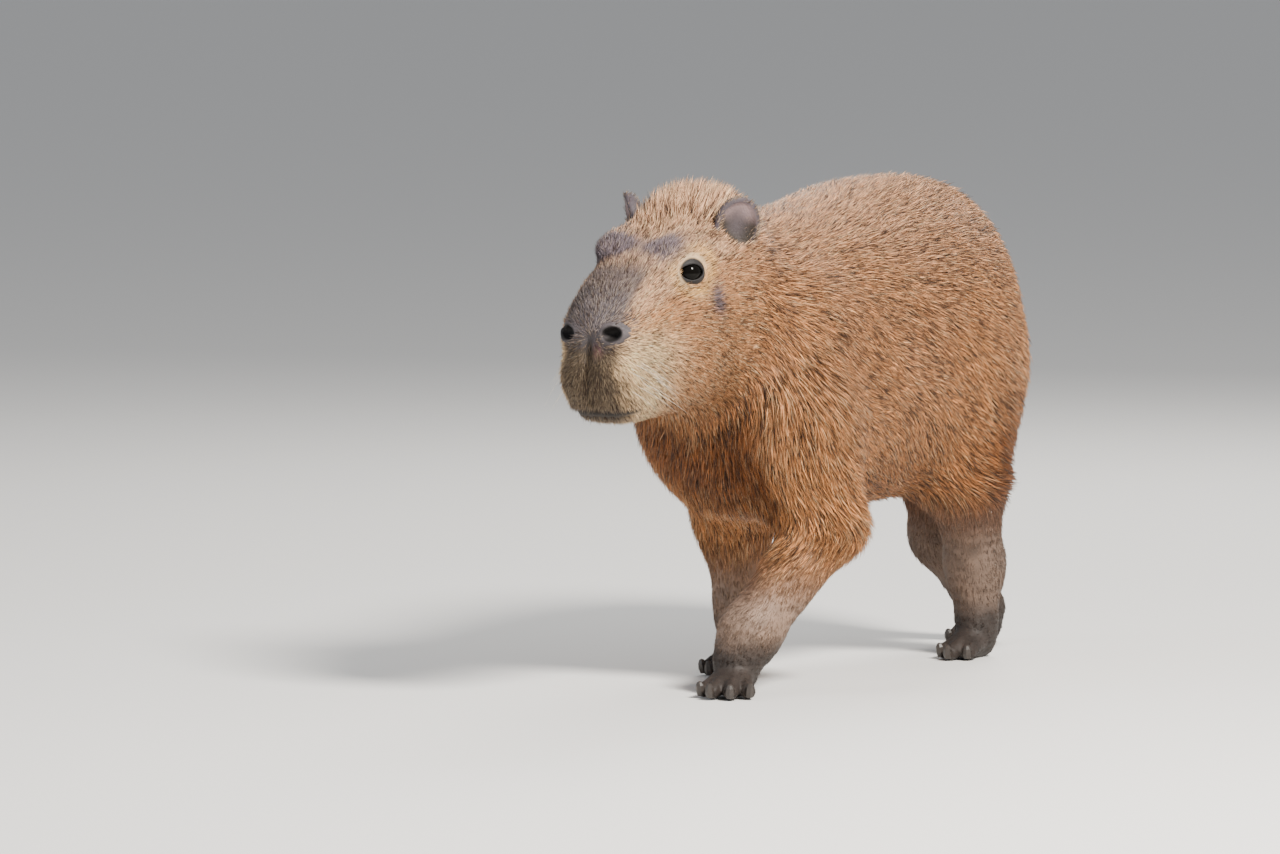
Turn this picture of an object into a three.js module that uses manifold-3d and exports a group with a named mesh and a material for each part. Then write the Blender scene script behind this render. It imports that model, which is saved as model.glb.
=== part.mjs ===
// A life-size walking capybara, as a still museum model.
// Millimetres. +Z is up, the animal faces -Y and its left side is +X.
// Each flesh node is a slice of one smooth body, described by a signed distance that is
// negative inside. The sizes are to the tips of the coat.
import * as THREE from "three";
import { mergeVertices } from "three/addons/utils/BufferGeometryUtils.js";
import Module from "manifold-3d";

const wasm = await Module();
wasm.setup();

// Driving dimensions
const BACK = 552; // height of the back over the floor
const BELLY = 180; // height of the belly over the floor
const WITHERS = 516; // height of the back between the shoulders
const HALF_WIDTH = 153; // half the width of the body at the ribs
const RUMP_Y = 370; // the hindmost point of the rump
const NOSE = new THREE.Vector3(-15, -450, 408); // tip of the nose, at the height of the nostrils
const HEAD_TURN = -5.5; // degrees that the head is turned, towards the animal's right
const SPINE_BEND = 1.75e-4; // sideways bend of the spine behind BEND_START, per millimetre
const BEND_START = -100;
const EYE_RADIUS = 13.5;
const GAP = 0.3; // gap between neighbouring nodes

const deg = THREE.MathUtils.degToRad;
const SIDES = { left: 1, right: -1 };

// Sideways place of the spine at y: the body bends to the left behind the shoulders
const spineX = (y) => (y > BEND_START ? SPINE_BEND * (y - BEND_START) ** 2 : 0);

// Frames: a frame's own axes are left, back and up, as the row's are
function makeFrame(origin, turn = 0, pitch = 0) {
  const matrix = new THREE.Matrix4()
    .makeRotationFromEuler(new THREE.Euler(deg(pitch), 0, deg(turn), "ZXY"))
    .setPosition(origin);
  const inverse = matrix.clone().invert().elements;
  return {
    matrix,
    point: (x, y, z) => new THREE.Vector3(x, y, z).applyMatrix4(matrix),
    local: (x, y, z) => [
      inverse[0] * x + inverse[4] * y + inverse[8] * z + inverse[12],
      inverse[1] * x + inverse[5] * y + inverse[9] * z + inverse[13],
      inverse[2] * x + inverse[6] * y + inverse[10] * z + inverse[14],
    ],
  };
}

const body = makeFrame(new THREE.Vector3());
const head = makeFrame(NOSE, HEAD_TURN);

// Distance fields: functions of x, y and z in the row's frame
function ellipsoid(frame, centre, radii) {
  const [cx, cy, cz] = centre;
  const [rx, ry, rz] = radii;
  return (x, y, z) => {
    const [a, b, c] = frame.local(x, y, z);
    const u = (a - cx) / rx;
    const v = (b - cy) / ry;
    const w = (c - cz) / rz;
    const near = Math.hypot(u, v, w);
    const slope = Math.hypot(u / rx, v / ry, w / rz);
    return slope < 1e-9 ? -Math.min(rx, ry, rz) : (near * (near - 1)) / slope;
  };
}

// A cone with round ends from point a with radius ra to point b with radius rb
function limbPiece(a, ra, b, rb) {
  const dx = b.x - a.x;
  const dy = b.y - a.y;
  const dz = b.z - a.z;
  const length2 = dx * dx + dy * dy + dz * dz;
  const fall = ra - rb;
  const side2 = length2 - fall * fall;
  return (x, y, z) => {
    const px = x - a.x;
    const py = y - a.y;
    const pz = z - a.z;
    const along = px * dx + py * dy + pz * dz;
    const past = along - length2;
    const off2 =
      (px * length2 - dx * along) ** 2 +
      (py * length2 - dy * along) ** 2 +
      (pz * length2 - dz * along) ** 2;
    const k = Math.sign(fall) * fall * fall * off2;
    const past2 = past * past * length2;
    const along2 = along * along * length2;
    if (Math.sign(past) * side2 * past2 > k) return Math.sqrt(off2 + past2) / length2 - rb;
    if (Math.sign(along) * side2 * along2 < k) return Math.sqrt(off2 + along2) / length2 - ra;
    return (Math.sqrt((off2 * side2) / length2) + along * fall) / length2 - ra;
  };
}

// A smooth curve through the stations' values, by their y
function profile(stations, key) {
  const slope = (i) => {
    const a = stations[Math.max(i - 1, 0)];
    const b = stations[Math.min(i + 1, stations.length - 1)];
    return (b[key] - a[key]) / (b.y - a.y);
  };
  const slopes = stations.map((_, i) => slope(i));
  return (y) => {
    const last = stations.length - 1;
    if (y <= stations[0].y) return stations[0][key];
    if (y >= stations[last].y) return stations[last][key];
    let i = 0;
    while (stations[i + 1].y < y) i += 1;
    const a = stations[i];
    const b = stations[i + 1];
    const span = b.y - a.y;
    const t = (y - a.y) / span;
    const rise = slopes[i] * span;
    const reach = slopes[i + 1] * span;
    const step = b[key] - a[key];
    return a[key] + t * (rise + t * (3 * step - 2 * rise - reach + t * (rise + reach - 2 * step)));
  };
}

// A body of changing section along a frame's y axis, with ends rounded by their own radii.
// Each station has a y, a top, a bottom, a half width and how square its section is.
function loft(frame, stations, frontRadius, backRadius, sideways = () => 0) {
  const top = profile(stations, "top");
  const bottom = profile(stations, "bottom");
  const half = profile(stations, "half");
  const square = profile(stations, "square");
  const front = stations[0].y;
  const back = stations[stations.length - 1].y;
  return (x, y, z) => {
    const [a, b, c] = frame.local(x, y, z);
    const at = Math.min(Math.max(b, front), back);
    const high = top(at);
    const low = bottom(at);
    const wide = half(at);
    const n = square(at);
    const across = a - sideways(b);
    const up = c - (high + low) / 2;
    const near = Math.hypot(across, up);
    const share =
      (Math.abs(across / wide) ** n + Math.abs((2 * up) / (high - low)) ** n) ** (1 / n);
    const section = near < 1e-6 ? -Math.min(wide, (high - low) / 2) : near * (1 - 1 / share);
    const ending = b < (front + back) / 2 ? front - b : b - back;
    const radius = b < (front + back) / 2 ? frontRadius : backRadius;
    const s = section + radius;
    const e = ending + radius;
    return Math.min(Math.max(s, e), 0) + Math.hypot(Math.max(s, 0), Math.max(e, 0)) - radius;
  };
}

// Joins two fields with a fillet of about the size k
const fillet = (a, b, k) => {
  const h = Math.max(k - Math.abs(a - b), 0) / k;
  return Math.min(a, b) - (h * h * k) / 4;
};
// pieces holds [field, fillet size] pairs
const join = (pieces) => (x, y, z) => {
  let d = pieces[0][0](x, y, z);
  for (let i = 1; i < pieces.length; i += 1) d = fillet(d, pieces[i][0](x, y, z), pieces[i][1]);
  return d;
};
// Takes field b out of field a with a soft edge
const hollow = (a, b, k) => (x, y, z) => -fillet(-a(x, y, z), b(x, y, z), k);
const both = (f) => [f(SIDES.left), f(SIDES.right)];

// Torso and neck
const torsoStations = [
  { y: -228, top: WITHERS - 12, bottom: BELLY + 92, half: 78, square: 2.1 },
  { y: -140, top: WITHERS - 8, bottom: BELLY + 14, half: 112, square: 2.1 },
  { y: -40, top: WITHERS + 4, bottom: BELLY + 2, half: 144, square: 2.1 },
  { y: 60, top: BACK - 16, bottom: BELLY, half: HALF_WIDTH, square: 2.1 },
  { y: 150, top: BACK - 2, bottom: BELLY + 4, half: HALF_WIDTH, square: 2.1 },
  { y: 235, top: BACK - 2, bottom: BELLY + 18, half: HALF_WIDTH - 21, square: 2.1 },
  { y: 305, top: BACK - 16, bottom: BELLY + 44, half: HALF_WIDTH - 38, square: 2.05 },
  { y: RUMP_Y, top: BACK - 46, bottom: BELLY + 74, half: HALF_WIDTH - 50, square: 2 },
];
const neckRadii = [84, 100, 110];
const torsoField = join([
  [loft(body, torsoStations, 60, 104, spineX), 0],
  [ellipsoid(body, [-8, -200, 418], neckRadii), 60],
  [ellipsoid(body, [84, -120, 335], [56, 92, 132]), 50], // left shoulder, over the leg in front
  [ellipsoid(body, [-66, -98, 335], [52, 84, 124]), 50], // right shoulder, over the leg behind
  ...both((s) => [ellipsoid(body, [spineX(230) + s * 66, 224, 325], [64, 104, 132]), 60]), // haunches
]);

// Head, in its own frame: y runs back from the nose, z is over the nostrils
const headStations = [
  { y: 0, top: 19, bottom: -72, half: 39, square: 2.8 },
  { y: 25, top: 43, bottom: -94, half: 47, square: 3 },
  { y: 60, top: 67, bottom: -98, half: 54, square: 3.2 },
  { y: 105, top: 94, bottom: -97, half: 60, square: 3.1 },
  { y: 150, top: 112, bottom: -92, half: 68, square: 2.7 },
  { y: 195, top: 136, bottom: -84, half: 75, square: 2.4 },
  { y: 240, top: 149, bottom: -78, half: 79, square: 2.2 },
  { y: 290, top: 142, bottom: -70, half: 80, square: 2.1 },
];
const EYE = { x: 52.5, y: 119, z: 62 };
const headField = hollow(
  hollow(
    join([
      [loft(head, headStations, 26, 60), 0],
      ...both((s) => [ellipsoid(head, [s * 42, 148, -26], [32, 62, 50]), 30]), // cheeks
      ...both((s) => [ellipsoid(head, [s * 43, 154, 84], [26, 64, 25]), 24]), // brows and temples
      ...both((s) => [ellipsoid(head, [s * 25, 17, 0], [19, 21, 18]), 8]), // nose pads
      ...both((s) => [ellipsoid(head, [s * 18, 20, -46], [24, 24, 30]), 10]), // upper lips
    ]),
    ellipsoid(head, [70, 86, 40], [15, 20, 14]),
    12,
  ),
  ellipsoid(head, [-70, 86, 40], [15, 20, 14]),
  12,
);

// Legs: the joints of each limb with their radii, from the top down. The root is a plane under
// the body where the leg parts from it, between two limits along y. The middle is at the elbow
// or the knee.
const V = (x, y, z) => new THREE.Vector3(x, y, z);
const legs = {
  fore_left: {
    joints: [V(88, -150, 300), V(106, -118, 182), V(54, -201, 68), V(45, -218, 36)],
    radii: [58, 42, 32, 27],
    toeTurn: 12,
    root: [V(70, -140, 204), V(-0.7, 0, 1)],
    limits: [-400, -30],
    middle: [V(106, -118, 170), V(0.1, 0.6, 0.79)],
  },
  fore_right: {
    joints: [V(-70, -95, 300), V(-74, 6, 172), V(-60, 6, 72), V(-56, -8, 36)],
    radii: [54, 43, 31, 27],
    toeTurn: 4,
    root: [V(-62, -50, 204), V(0.7, 0, 1)],
    limits: [-400, 80],
    middle: [V(-74, 4, 166), V(0, -0.3, 0.95)],
  },
  hind_left: {
    joints: [V(102, 230, 330), V(110, 222, 205), V(96, 274, 104), V(100, 272, 38)],
    radii: [66, 45, 32, 26],
    toeTurn: -6,
    root: [V(84, 225, 236), V(-0.7, 0, 1)],
    limits: [150, 500],
    middle: [V(115, 240, 182), V(0, -0.54, 0.84)],
  },
  hind_right: {
    joints: [V(-34, 240, 330), V(8, 350, 204), V(8, 366, 127), V(34, 424, 42)],
    radii: [66, 42, 34, 27],
    toeTurn: -2,
    root: [V(-10, 300, 244), V(0.3, -0.1, 1)],
    limits: [185, 500],
    middle: [V(0, 340, 178), V(-0.1, -0.4, 0.9)],
  },
};
const TOES = {
  fore: { angles: [-30, -10, 10, 30], lengths: [30, 42, 44, 34], root: 14, tip: 9.5, spread: 18 },
  hind: { angles: [-20, 0, 20], lengths: [30, 40, 30], root: 15, tip: 10, spread: 16 },
};
const TOE_TIP = 9; // height of a toe's middle line over the floor at its tip
const TOE_ROOT = 19; // and at its root
const JOINT_FILLET = 26;
const FOOT_FILLET = 14;
const TOE_FILLET = 5;

// Each toe's root, tip and direction, from the foot's last joint
function toesOf(name) {
  const leg = legs[name];
  const plan = name.startsWith("fore") ? TOES.fore : TOES.hind;
  const ankle = leg.joints[3];
  return plan.angles.map((angle, i) => {
    const turn = deg(angle + leg.toeTurn);
    const way = V(Math.sin(turn), -Math.cos(turn), 0);
    const root = V(ankle.x, ankle.y, 0).addScaledVector(way, plan.spread).setZ(TOE_ROOT);
    const tip = root.clone().addScaledVector(way, plan.lengths[i]).setZ(TOE_TIP);
    return { root, tip, turn, way, plan };
  });
}

function legField(name) {
  const { joints, radii, toeTurn } = legs[name];
  const pieces = [];
  for (let i = 0; i + 1 < joints.length; i += 1) {
    pieces.push([limbPiece(joints[i], radii[i], joints[i + 1], radii[i + 1]), JOINT_FILLET]);
  }
  const ankle = joints[3];
  const turn = deg(toeTurn);
  const heel = V(ankle.x, ankle.y + 4, 17);
  const ball = V(ankle.x + 16 * Math.sin(turn), ankle.y - 16 * Math.cos(turn), 13);
  pieces.push([limbPiece(heel, 20, ball, 17), FOOT_FILLET]);
  for (const { root, tip, plan } of toesOf(name)) {
    pieces.push([limbPiece(root, plan.root, tip, plan.tip), TOE_FILLET]);
  }
  return join(pieces);
}

const legFields = Object.fromEntries(Object.keys(legs).map((name) => [name, legField(name)]));
const LEG_FILLET = 44;
const HEAD_FILLET = 34;
const frontField = join([[torsoField, 0], [headField, HEAD_FILLET]]);
const limbOnBody = (name) => join([[torsoField, 0], [legFields[name], LEG_FILLET]]);
const bodyField = join([
  [frontField, 0],
  ...Object.keys(legs).map((name) => [legFields[name], LEG_FILLET]),
]);

// A cell's corners are numbered by the bits x, y, z. An edge is named by its lower corner and axis.
const corners = [0, 1, 2, 3, 4, 5, 6, 7].map((c) => [c & 1, (c >> 1) & 1, c >> 2]);
const edges = corners.flatMap((_, c) =>
  [0, 1, 2].filter((axis) => !(c & (1 << axis))).map((axis) => [c, axis]),
);
const edgeName = (corner, axis) => 3 * corner + axis;

// Groups the crossed edges of a cell into loops, so that each loop gets a point of its own
function loopsOf(inside) {
  const group = {};
  const rootOf = (e) => (group[e] === e ? e : rootOf(group[e]));
  for (const [c, axis] of edges) {
    if (inside[c] !== inside[c | (1 << axis)]) group[edgeName(c, axis)] = edgeName(c, axis);
  }
  for (let across = 0; across < 3; across += 1) {
    const u = (across + 1) % 3;
    const w = (across + 2) % 3;
    for (const base of [0, 1 << across]) {
      const ring = [base, base | (1 << u), base | (1 << u) | (1 << w), base | (1 << w)];
      const rim = [edgeName(ring[0], u), edgeName(ring[1], w), edgeName(ring[3], u), edgeName(ring[0], w)];
      const crossed = rim.filter((e) => e in group);
      if (crossed.length === 2) group[rootOf(crossed[0])] = rootOf(crossed[1]);
      if (crossed.length < 4) continue;
      for (let i = 0; i < 4; i += 1) {
        if (inside[ring[i]]) group[rootOf(rim[i])] = rootOf(rim[(i + 3) % 4]);
      }
    }
  }
  const loops = {};
  for (const e of Object.keys(group)) (loops[rootOf(Number(e))] ??= []).push(Number(e));
  return Object.values(loops);
}

// A closed mesh of a field inside a box, of nearly square faces with their corners on the field.
// What reaches out of the box ends flat inside it.
function surface(open, low, high, step) {
  const field = (x, y, z) => {
    const outX = Math.max(low[0] - x, x - high[0]);
    const outY = Math.max(low[1] - y, y - high[1]);
    const outZ = Math.max(low[2] - z, z - high[2]);
    return Math.max(open(x, y, z), 1.5 * step + Math.max(outX, outY, outZ));
  };
  const [nx, ny, nz] = high.map((h, i) => Math.ceil((h - low[i]) / step) + 1);
  const values = new Float32Array(nx * ny * nz);
  const id = (i, j, k) => i + nx * (j + ny * k);
  for (let k = 0; k < nz; k += 1) {
    for (let j = 0; j < ny; j += 1) {
      for (let i = 0; i < nx; i += 1) {
        values[id(i, j, k)] = field(low[0] + i * step, low[1] + j * step, low[2] + k * step);
      }
    }
  }
  const pointOn = new Map(); // by cell, the point of each of its crossed edges
  const points = [];
  for (let k = 0; k + 1 < nz; k += 1) {
    for (let j = 0; j + 1 < ny; j += 1) {
      for (let i = 0; i + 1 < nx; i += 1) {
        const value = corners.map(([a, b, c]) => values[id(i + a, j + b, k + c)]);
        const inside = value.map((v) => v < 0);
        if (inside.every((s) => s === inside[0])) continue;
        const slots = {};
        for (const loop of loopsOf(inside)) {
          const sum = [0, 0, 0];
          for (const e of loop) {
            const corner = Math.floor(e / 3);
            const axis = e % 3;
            const from = value[corner];
            const to = value[corner | (1 << axis)];
            for (let n = 0; n < 3; n += 1) sum[n] += corners[corner][n];
            sum[axis] += from / (from - to);
            slots[e] = points.length / 3;
          }
          points.push(
            low[0] + (i + sum[0] / loop.length) * step,
            low[1] + (j + sum[1] / loop.length) * step,
            low[2] + (k + sum[2] / loop.length) * step,
          );
        }
        pointOn.set(id(i, j, k), slots);
      }
    }
  }
  settle(points, field, step);
  const faces = [];
  const apart = (a, b) =>
    (points[3 * a] - points[3 * b]) ** 2 +
    (points[3 * a + 1] - points[3 * b + 1]) ** 2 +
    (points[3 * a + 2] - points[3 * b + 2]) ** 2;
  const quad = ([a, b, c, d]) => {
    if (apart(a, c) < apart(b, d)) faces.push(a, b, c, a, c, d);
    else faces.push(a, b, d, b, c, d);
  };
  const strides = [1, nx, nx * ny];
  for (let k = 1; k + 1 < nz; k += 1) {
    for (let j = 1; j + 1 < ny; j += 1) {
      for (let i = 1; i + 1 < nx; i += 1) {
        const here = id(i, j, k);
        for (let axis = 0; axis < 3; axis += 1) {
          const inside = values[here] < 0;
          if (inside === values[here + strides[axis]] < 0) continue;
          const u = (axis + 1) % 3;
          const w = (axis + 2) % 3;
          const around = [[0, 0], [1, 0], [1, 1], [0, 1]];
          const ring = around.map(([du, dw]) => {
            const cell = pointOn.get(here - du * strides[u] - dw * strides[w]);
            return cell[edgeName((du << u) | (dw << w), axis)];
          });
          quad(inside ? ring : ring.reverse());
        }
      }
    }
  }
  const geometry = new THREE.BufferGeometry();
  geometry.setAttribute("position", new THREE.Float32BufferAttribute(points, 3));
  geometry.setIndex(faces);
  return geometry;
}

// Moves points onto the field's zero, along its slope
function settle(points, field, step) {
  const probe = 0.5;
  for (let n = 0; n < points.length; n += 3) {
    for (let round = 0; round < 3; round += 1) {
      const [x, y, z] = points.slice(n, n + 3);
      const d = field(x, y, z);
      const slope = [
        (field(x + probe, y, z) - field(x - probe, y, z)) / (2 * probe),
        (field(x, y + probe, z) - field(x, y - probe, z)) / (2 * probe),
        (field(x, y, z + probe) - field(x, y, z - probe)) / (2 * probe),
      ];
      const steep = Math.max(slope[0] ** 2 + slope[1] ** 2 + slope[2] ** 2, 0.2);
      const move = Math.max(-0.4 * step, Math.min(0.4 * step, d)) / steep;
      for (let axis = 0; axis < 3; axis += 1) points[n + axis] -= move * slope[axis];
    }
  }
}

// Solids
function solidOf(geometry) {
  return new wasm.Manifold(
    new wasm.Mesh({
      numProp: 3,
      vertProperties: geometry.attributes.position.array,
      triVerts: new Uint32Array(geometry.index.array),
    }),
  );
}

// A three.js shape with the points that its faces share joined into one
function joined(shape) {
  const bare = shape.clone();
  bare.deleteAttribute("normal");
  bare.deleteAttribute("uv");
  return mergeVertices(bare, 1e-4);
}

function geometryOf(solid) {
  const mesh = solid.getMesh();
  const geometry = new THREE.BufferGeometry();
  geometry.setAttribute("position", new THREE.BufferAttribute(mesh.vertProperties.slice(), 3));
  geometry.setIndex(new THREE.BufferAttribute(mesh.triVerts.slice(), 1));
  return geometry;
}

const largest = (solid) =>
  solid.decompose().reduce((best, piece) => (piece.volume() > best.volume() ? piece : best));

// The half of space on the side of a plane that its normal points to, as a large box
const REACH = 1500;
function halfSpace(point, normal, offset = 0) {
  const way = normal.clone().normalize();
  const turn = new THREE.Quaternion().setFromUnitVectors(V(0, 0, 1), way);
  const box = new THREE.BoxGeometry(2 * REACH, 2 * REACH, REACH);
  box.applyQuaternion(turn);
  const centre = point.clone().addScaledVector(way, offset + REACH / 2);
  box.translate(centre.x, centre.y, centre.z);
  return solidOf(joined(box));
}

// The part of a solid in front of a plane and the part behind it, GAP apart
function cut(solid, [point, normal]) {
  return {
    front: largest(solid.subtract(halfSpace(point, normal.clone().negate(), -GAP / 2))),
    behind: largest(solid.subtract(halfSpace(point, normal, -GAP / 2))),
  };
}

// Where the head and the neck are parted
const JAW_CUT = [head.point(0, 206, 0), V(0.05, -1, 0.28)];
const NECK_CUT = [V(0, -176, 400), V(0, -1, 0.42)];
const THIGH_SPLIT = [V(46, 260, 0), V(1, -0.1, 0)]; // between the two thighs
const ANKLE_CUT = [V(0, 0, 62), V(0, 0, 1)]; // between a leg and its foot

const materials = {
  coat: new THREE.MeshStandardMaterial({ color: 0xa8683e, roughness: 0.85 }),
  face: new THREE.MeshStandardMaterial({ color: 0xa98562, roughness: 0.85 }),
  lower_leg: new THREE.MeshStandardMaterial({ color: 0x7d6556, roughness: 0.85 }),
  ear: new THREE.MeshStandardMaterial({ color: 0x6f6360, roughness: 0.75 }),
  eye: new THREE.MeshStandardMaterial({ color: 0x14100d, roughness: 0.08 }),
  claw: new THREE.MeshStandardMaterial({ color: 0x2e2926, roughness: 0.45 }),
};

// Fringes: locks of the coat where it hangs or stands free of the body. Each fringe is rows of
// locks whose roots lie between two points and are moved onto the body. The next row starts a
// step on. The lie is the way that its hair grows.
const LOCK_LONG = 58;
const ELBOW_LONG = 42;
const LOCK_WIDE = 24;
const FRINGES = [
  {
    // chest
    from: V(-62, -215, 290),
    to: V(70, -215, 290),
    count: 6,
    rows: 3,
    next: V(1, 14, -32),
    lie: V(0, 0.5, -1),
    long: LOCK_LONG,
  },
  {
    // the middle of the belly
    from: V(-20, -60, 180),
    to: V(-6, 165, 180),
    count: 7,
    rows: 1,
    next: V(0, 0, 0),
    lie: V(0, 1, -0.35),
    long: LOCK_LONG,
  },
  {
    // the left edge of the belly
    from: V(56, -10, 185),
    to: V(60, 140, 185),
    count: 5,
    rows: 1,
    next: V(0, 0, 0),
    lie: V(0.1, 1, -0.35),
    long: LOCK_LONG,
  },
  {
    // left elbow
    from: V(96, -70, 242),
    to: V(92, -70, 212),
    count: 2,
    rows: 3,
    next: V(16, -8, 0),
    lie: V(0, 0.4, -1),
    long: ELBOW_LONG,
  },
  {
    // right elbow
    from: V(-58, 50, 250),
    to: V(-60, 50, 222),
    count: 2,
    rows: 3,
    next: V(-16, -5, 0),
    lie: V(0, 0.3, -1),
    long: ELBOW_LONG,
  },
].map((plan) => ({ wide: LOCK_WIDE, ...plan }));
const CROWN = {
  from: head.point(-38, 168, 128),
  to: head.point(38, 168, 128),
  count: 5,
  rows: 2,
  next: V(2, 20, 8),
  lie: V(0, 1, 0),
  long: 36,
  wide: 20,
};
const LOCK_SUNK = 5; // how deep a lock's root lies under the surface
const LOCK_LIFT = 22; // degrees that a lock stands up at its root and at its tip
const LOCK_LAY = -3;

// Repeatable random numbers from 0 to 1
function makeRandom(seed) {
  let state = seed;
  return () => {
    state = (state * 1664525 + 1013904223) % 4294967296;
    return state / 4294967296;
  };
}
const random = makeRandom(5);
const vary = (share) => 1 + share * (2 * random() - 1);

// A flat, tapered lock that leaves the surface at its root and bends down along its lie
function lockAt(root, out, lie, long, wide) {
  const across = new THREE.Vector3().crossVectors(out, lie).normalize();
  const along = new THREE.Vector3().crossVectors(across, out).normalize();
  const stages = [0, 0.34, 0.68];
  const widths = [0.7, 1, 0.66];
  const thick = [6, 5, 3];
  const place = root.clone().addScaledVector(out, -LOCK_SUNK);
  const points = [];
  const lay = (share) => deg(LOCK_LIFT + (LOCK_LAY - LOCK_LIFT) * share);
  const wayAt = (share) =>
    along.clone().multiplyScalar(Math.cos(lay(share))).addScaledVector(out, Math.sin(lay(share)));
  stages.forEach((stage, i) => {
    const way = wayAt(stage);
    const up = new THREE.Vector3().crossVectors(way, across);
    const half = (wide * widths[i]) / 2;
    points.push(place.clone().addScaledVector(across, half));
    points.push(place.clone().addScaledVector(up, thick[i] / 2));
    points.push(place.clone().addScaledVector(across, -half));
    points.push(place.clone().addScaledVector(up, -thick[i] / 2));
    const next = i + 1 < stages.length ? stages[i + 1] : 1;
    place.addScaledVector(way, long * (next - stage));
  });
  points.push(place);
  const faces = [0, 2, 1, 0, 3, 2];
  for (let j = 0; j < 4; j += 1) {
    const k = (j + 1) % 4;
    for (let i = 0; i + 1 < stages.length; i += 1) {
      const [a, b, c, d] = [4 * i + j, 4 * i + k, 4 * i + 4 + k, 4 * i + 4 + j];
      faces.push(a, b, c, a, c, d);
    }
    faces.push(4 * (stages.length - 1) + j, 4 * (stages.length - 1) + k, points.length - 1);
  }
  const shape = new THREE.BufferGeometry().setFromPoints(points);
  shape.setIndex(faces);
  return solidOf(shape);
}

// The locks of one fringe, on the surface of a field
function fringe({ from, to, count, rows, next, lie, long, wide }, field) {
  const locks = [];
  for (let row = 0; row < rows; row += 1) {
    for (let i = 0; i < count; i += 1) {
      const share = (i + 0.5 + (row % 2 ? 0.25 : -0.25) + 0.15 * (2 * random() - 1)) / count;
      const start = from.clone().lerp(to, share).addScaledVector(next, row);
      const at = start.toArray();
      for (let round = 0; round < 4; round += 1) settle(at, field, 60);
      const root = V(...at);
      const d = field(...at);
      const out = V(
        field(at[0] + 1, at[1], at[2]) - d,
        field(at[0], at[1] + 1, at[2]) - d,
        field(at[0], at[1], at[2] + 1) - d,
      ).normalize();
      const way = lie.clone().add(V(0.16 * (2 * random() - 1), 0, 0.16 * (2 * random() - 1)));
      locks.push(lockAt(root, out, way, long * vary(0.15), wide * vary(0.12)));
    }
  }
  return locks;
}
const bodyLocks = FRINGES.flatMap((plan) => fringe(plan, bodyField));
const crownLocks = fringe(CROWN, frontField);
const withLocks = (solid, locks) => wasm.Manifold.union([solid, ...locks]);

const capybara = new THREE.Group();
const solids = {};
function addNode(name, solid, material) {
  solids[name] = solid;
  const mesh = new THREE.Mesh(geometryOf(solid), materials[material]);
  mesh.name = name;
  capybara.add(mesh);
}

const STEP = { torso: 32, neck: 24, head: 12, leg: 19, foot: 11 };

// Torso
const bare = solidOf(surface(bodyField, [-260, -500, -60], [300, 500, 640], STEP.torso));
const whole = withLocks(bare, bodyLocks);
let torso = cut(whole, NECK_CUT).behind;

// The space of a leg under its root plane, a little larger or smaller
function legSpace({ root: [point, normal], limits }, grow) {
  const under = halfSpace(point, normal.clone().negate(), -grow);
  const before = halfSpace(V(0, limits[0], 0), V(0, 1, 0), -grow);
  const past = halfSpace(V(0, limits[1], 0), V(0, -1, 0), -grow);
  return under.intersect(before).intersect(past);
}
for (const leg of Object.values(legs)) torso = torso.subtract(legSpace(leg, GAP / 2));
addNode("torso", largest(torso), "coat");

// Neck and head
const neckPiece = solidOf(surface(frontField, [-190, -360, 150], [190, -40, 640], STEP.neck));
addNode("neck", cut(cut(neckPiece, NECK_CUT).front, JAW_CUT).behind, "coat");

const HEAD_BOX = [[-150, -500, 250], [130, -160, 620], STEP.head];
let face = cut(withLocks(solidOf(surface(frontField, ...HEAD_BOX)), crownLocks), JAW_CUT).front;
const aroundHead = solidOf(surface((x, y, z) => frontField(x, y, z) - GAP - 0.1, ...HEAD_BOX));
const insideHead = solidOf(surface((x, y, z) => frontField(x, y, z) + 6, ...HEAD_BOX));

// A ball stretched to three radii, turned, and placed in the head's frame
function ball(centre, radii, turn = [0, 0, 0], rings = [12, 8]) {
  const shape = new THREE.SphereGeometry(1, ...rings);
  shape.scale(...radii);
  shape.applyMatrix4(new THREE.Matrix4().makeRotationFromEuler(new THREE.Euler(...turn.map(deg))));
  shape.translate(...centre);
  shape.applyMatrix4(head.matrix);
  return solidOf(joined(shape));
}

// Eyes with lids round them
const LID = 2.6; // thickness of the eyelids
const EYE_OPENING = [12, 10.5]; // half width and half height of the opening between the lids
for (const [side, s] of Object.entries(SIDES)) {
  const centre = [s * EYE.x, EYE.y, EYE.z];
  const around = (extra) => [EYE_RADIUS + extra, EYE_RADIUS + extra, EYE_RADIUS + extra];
  const opening = new THREE.CylinderGeometry(1, 1, 30, 16);
  opening.scale(EYE_OPENING[1], 1, EYE_OPENING[0]);
  opening.rotateZ(deg(-90));
  opening.translate(20, 0, 0);
  opening.rotateY(deg(-12));
  opening.rotateZ(deg(-22));
  if (s < 0) opening.rotateZ(deg(180 + 44));
  opening.translate(...centre);
  opening.applyMatrix4(head.matrix);
  face = face
    .add(ball(centre, around(LID)))
    .subtract(ball(centre, around(GAP)))
    .subtract(solidOf(joined(opening)));
  addNode(`eye_${side}`, ball(centre, around(0)), "eye");
}

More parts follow.
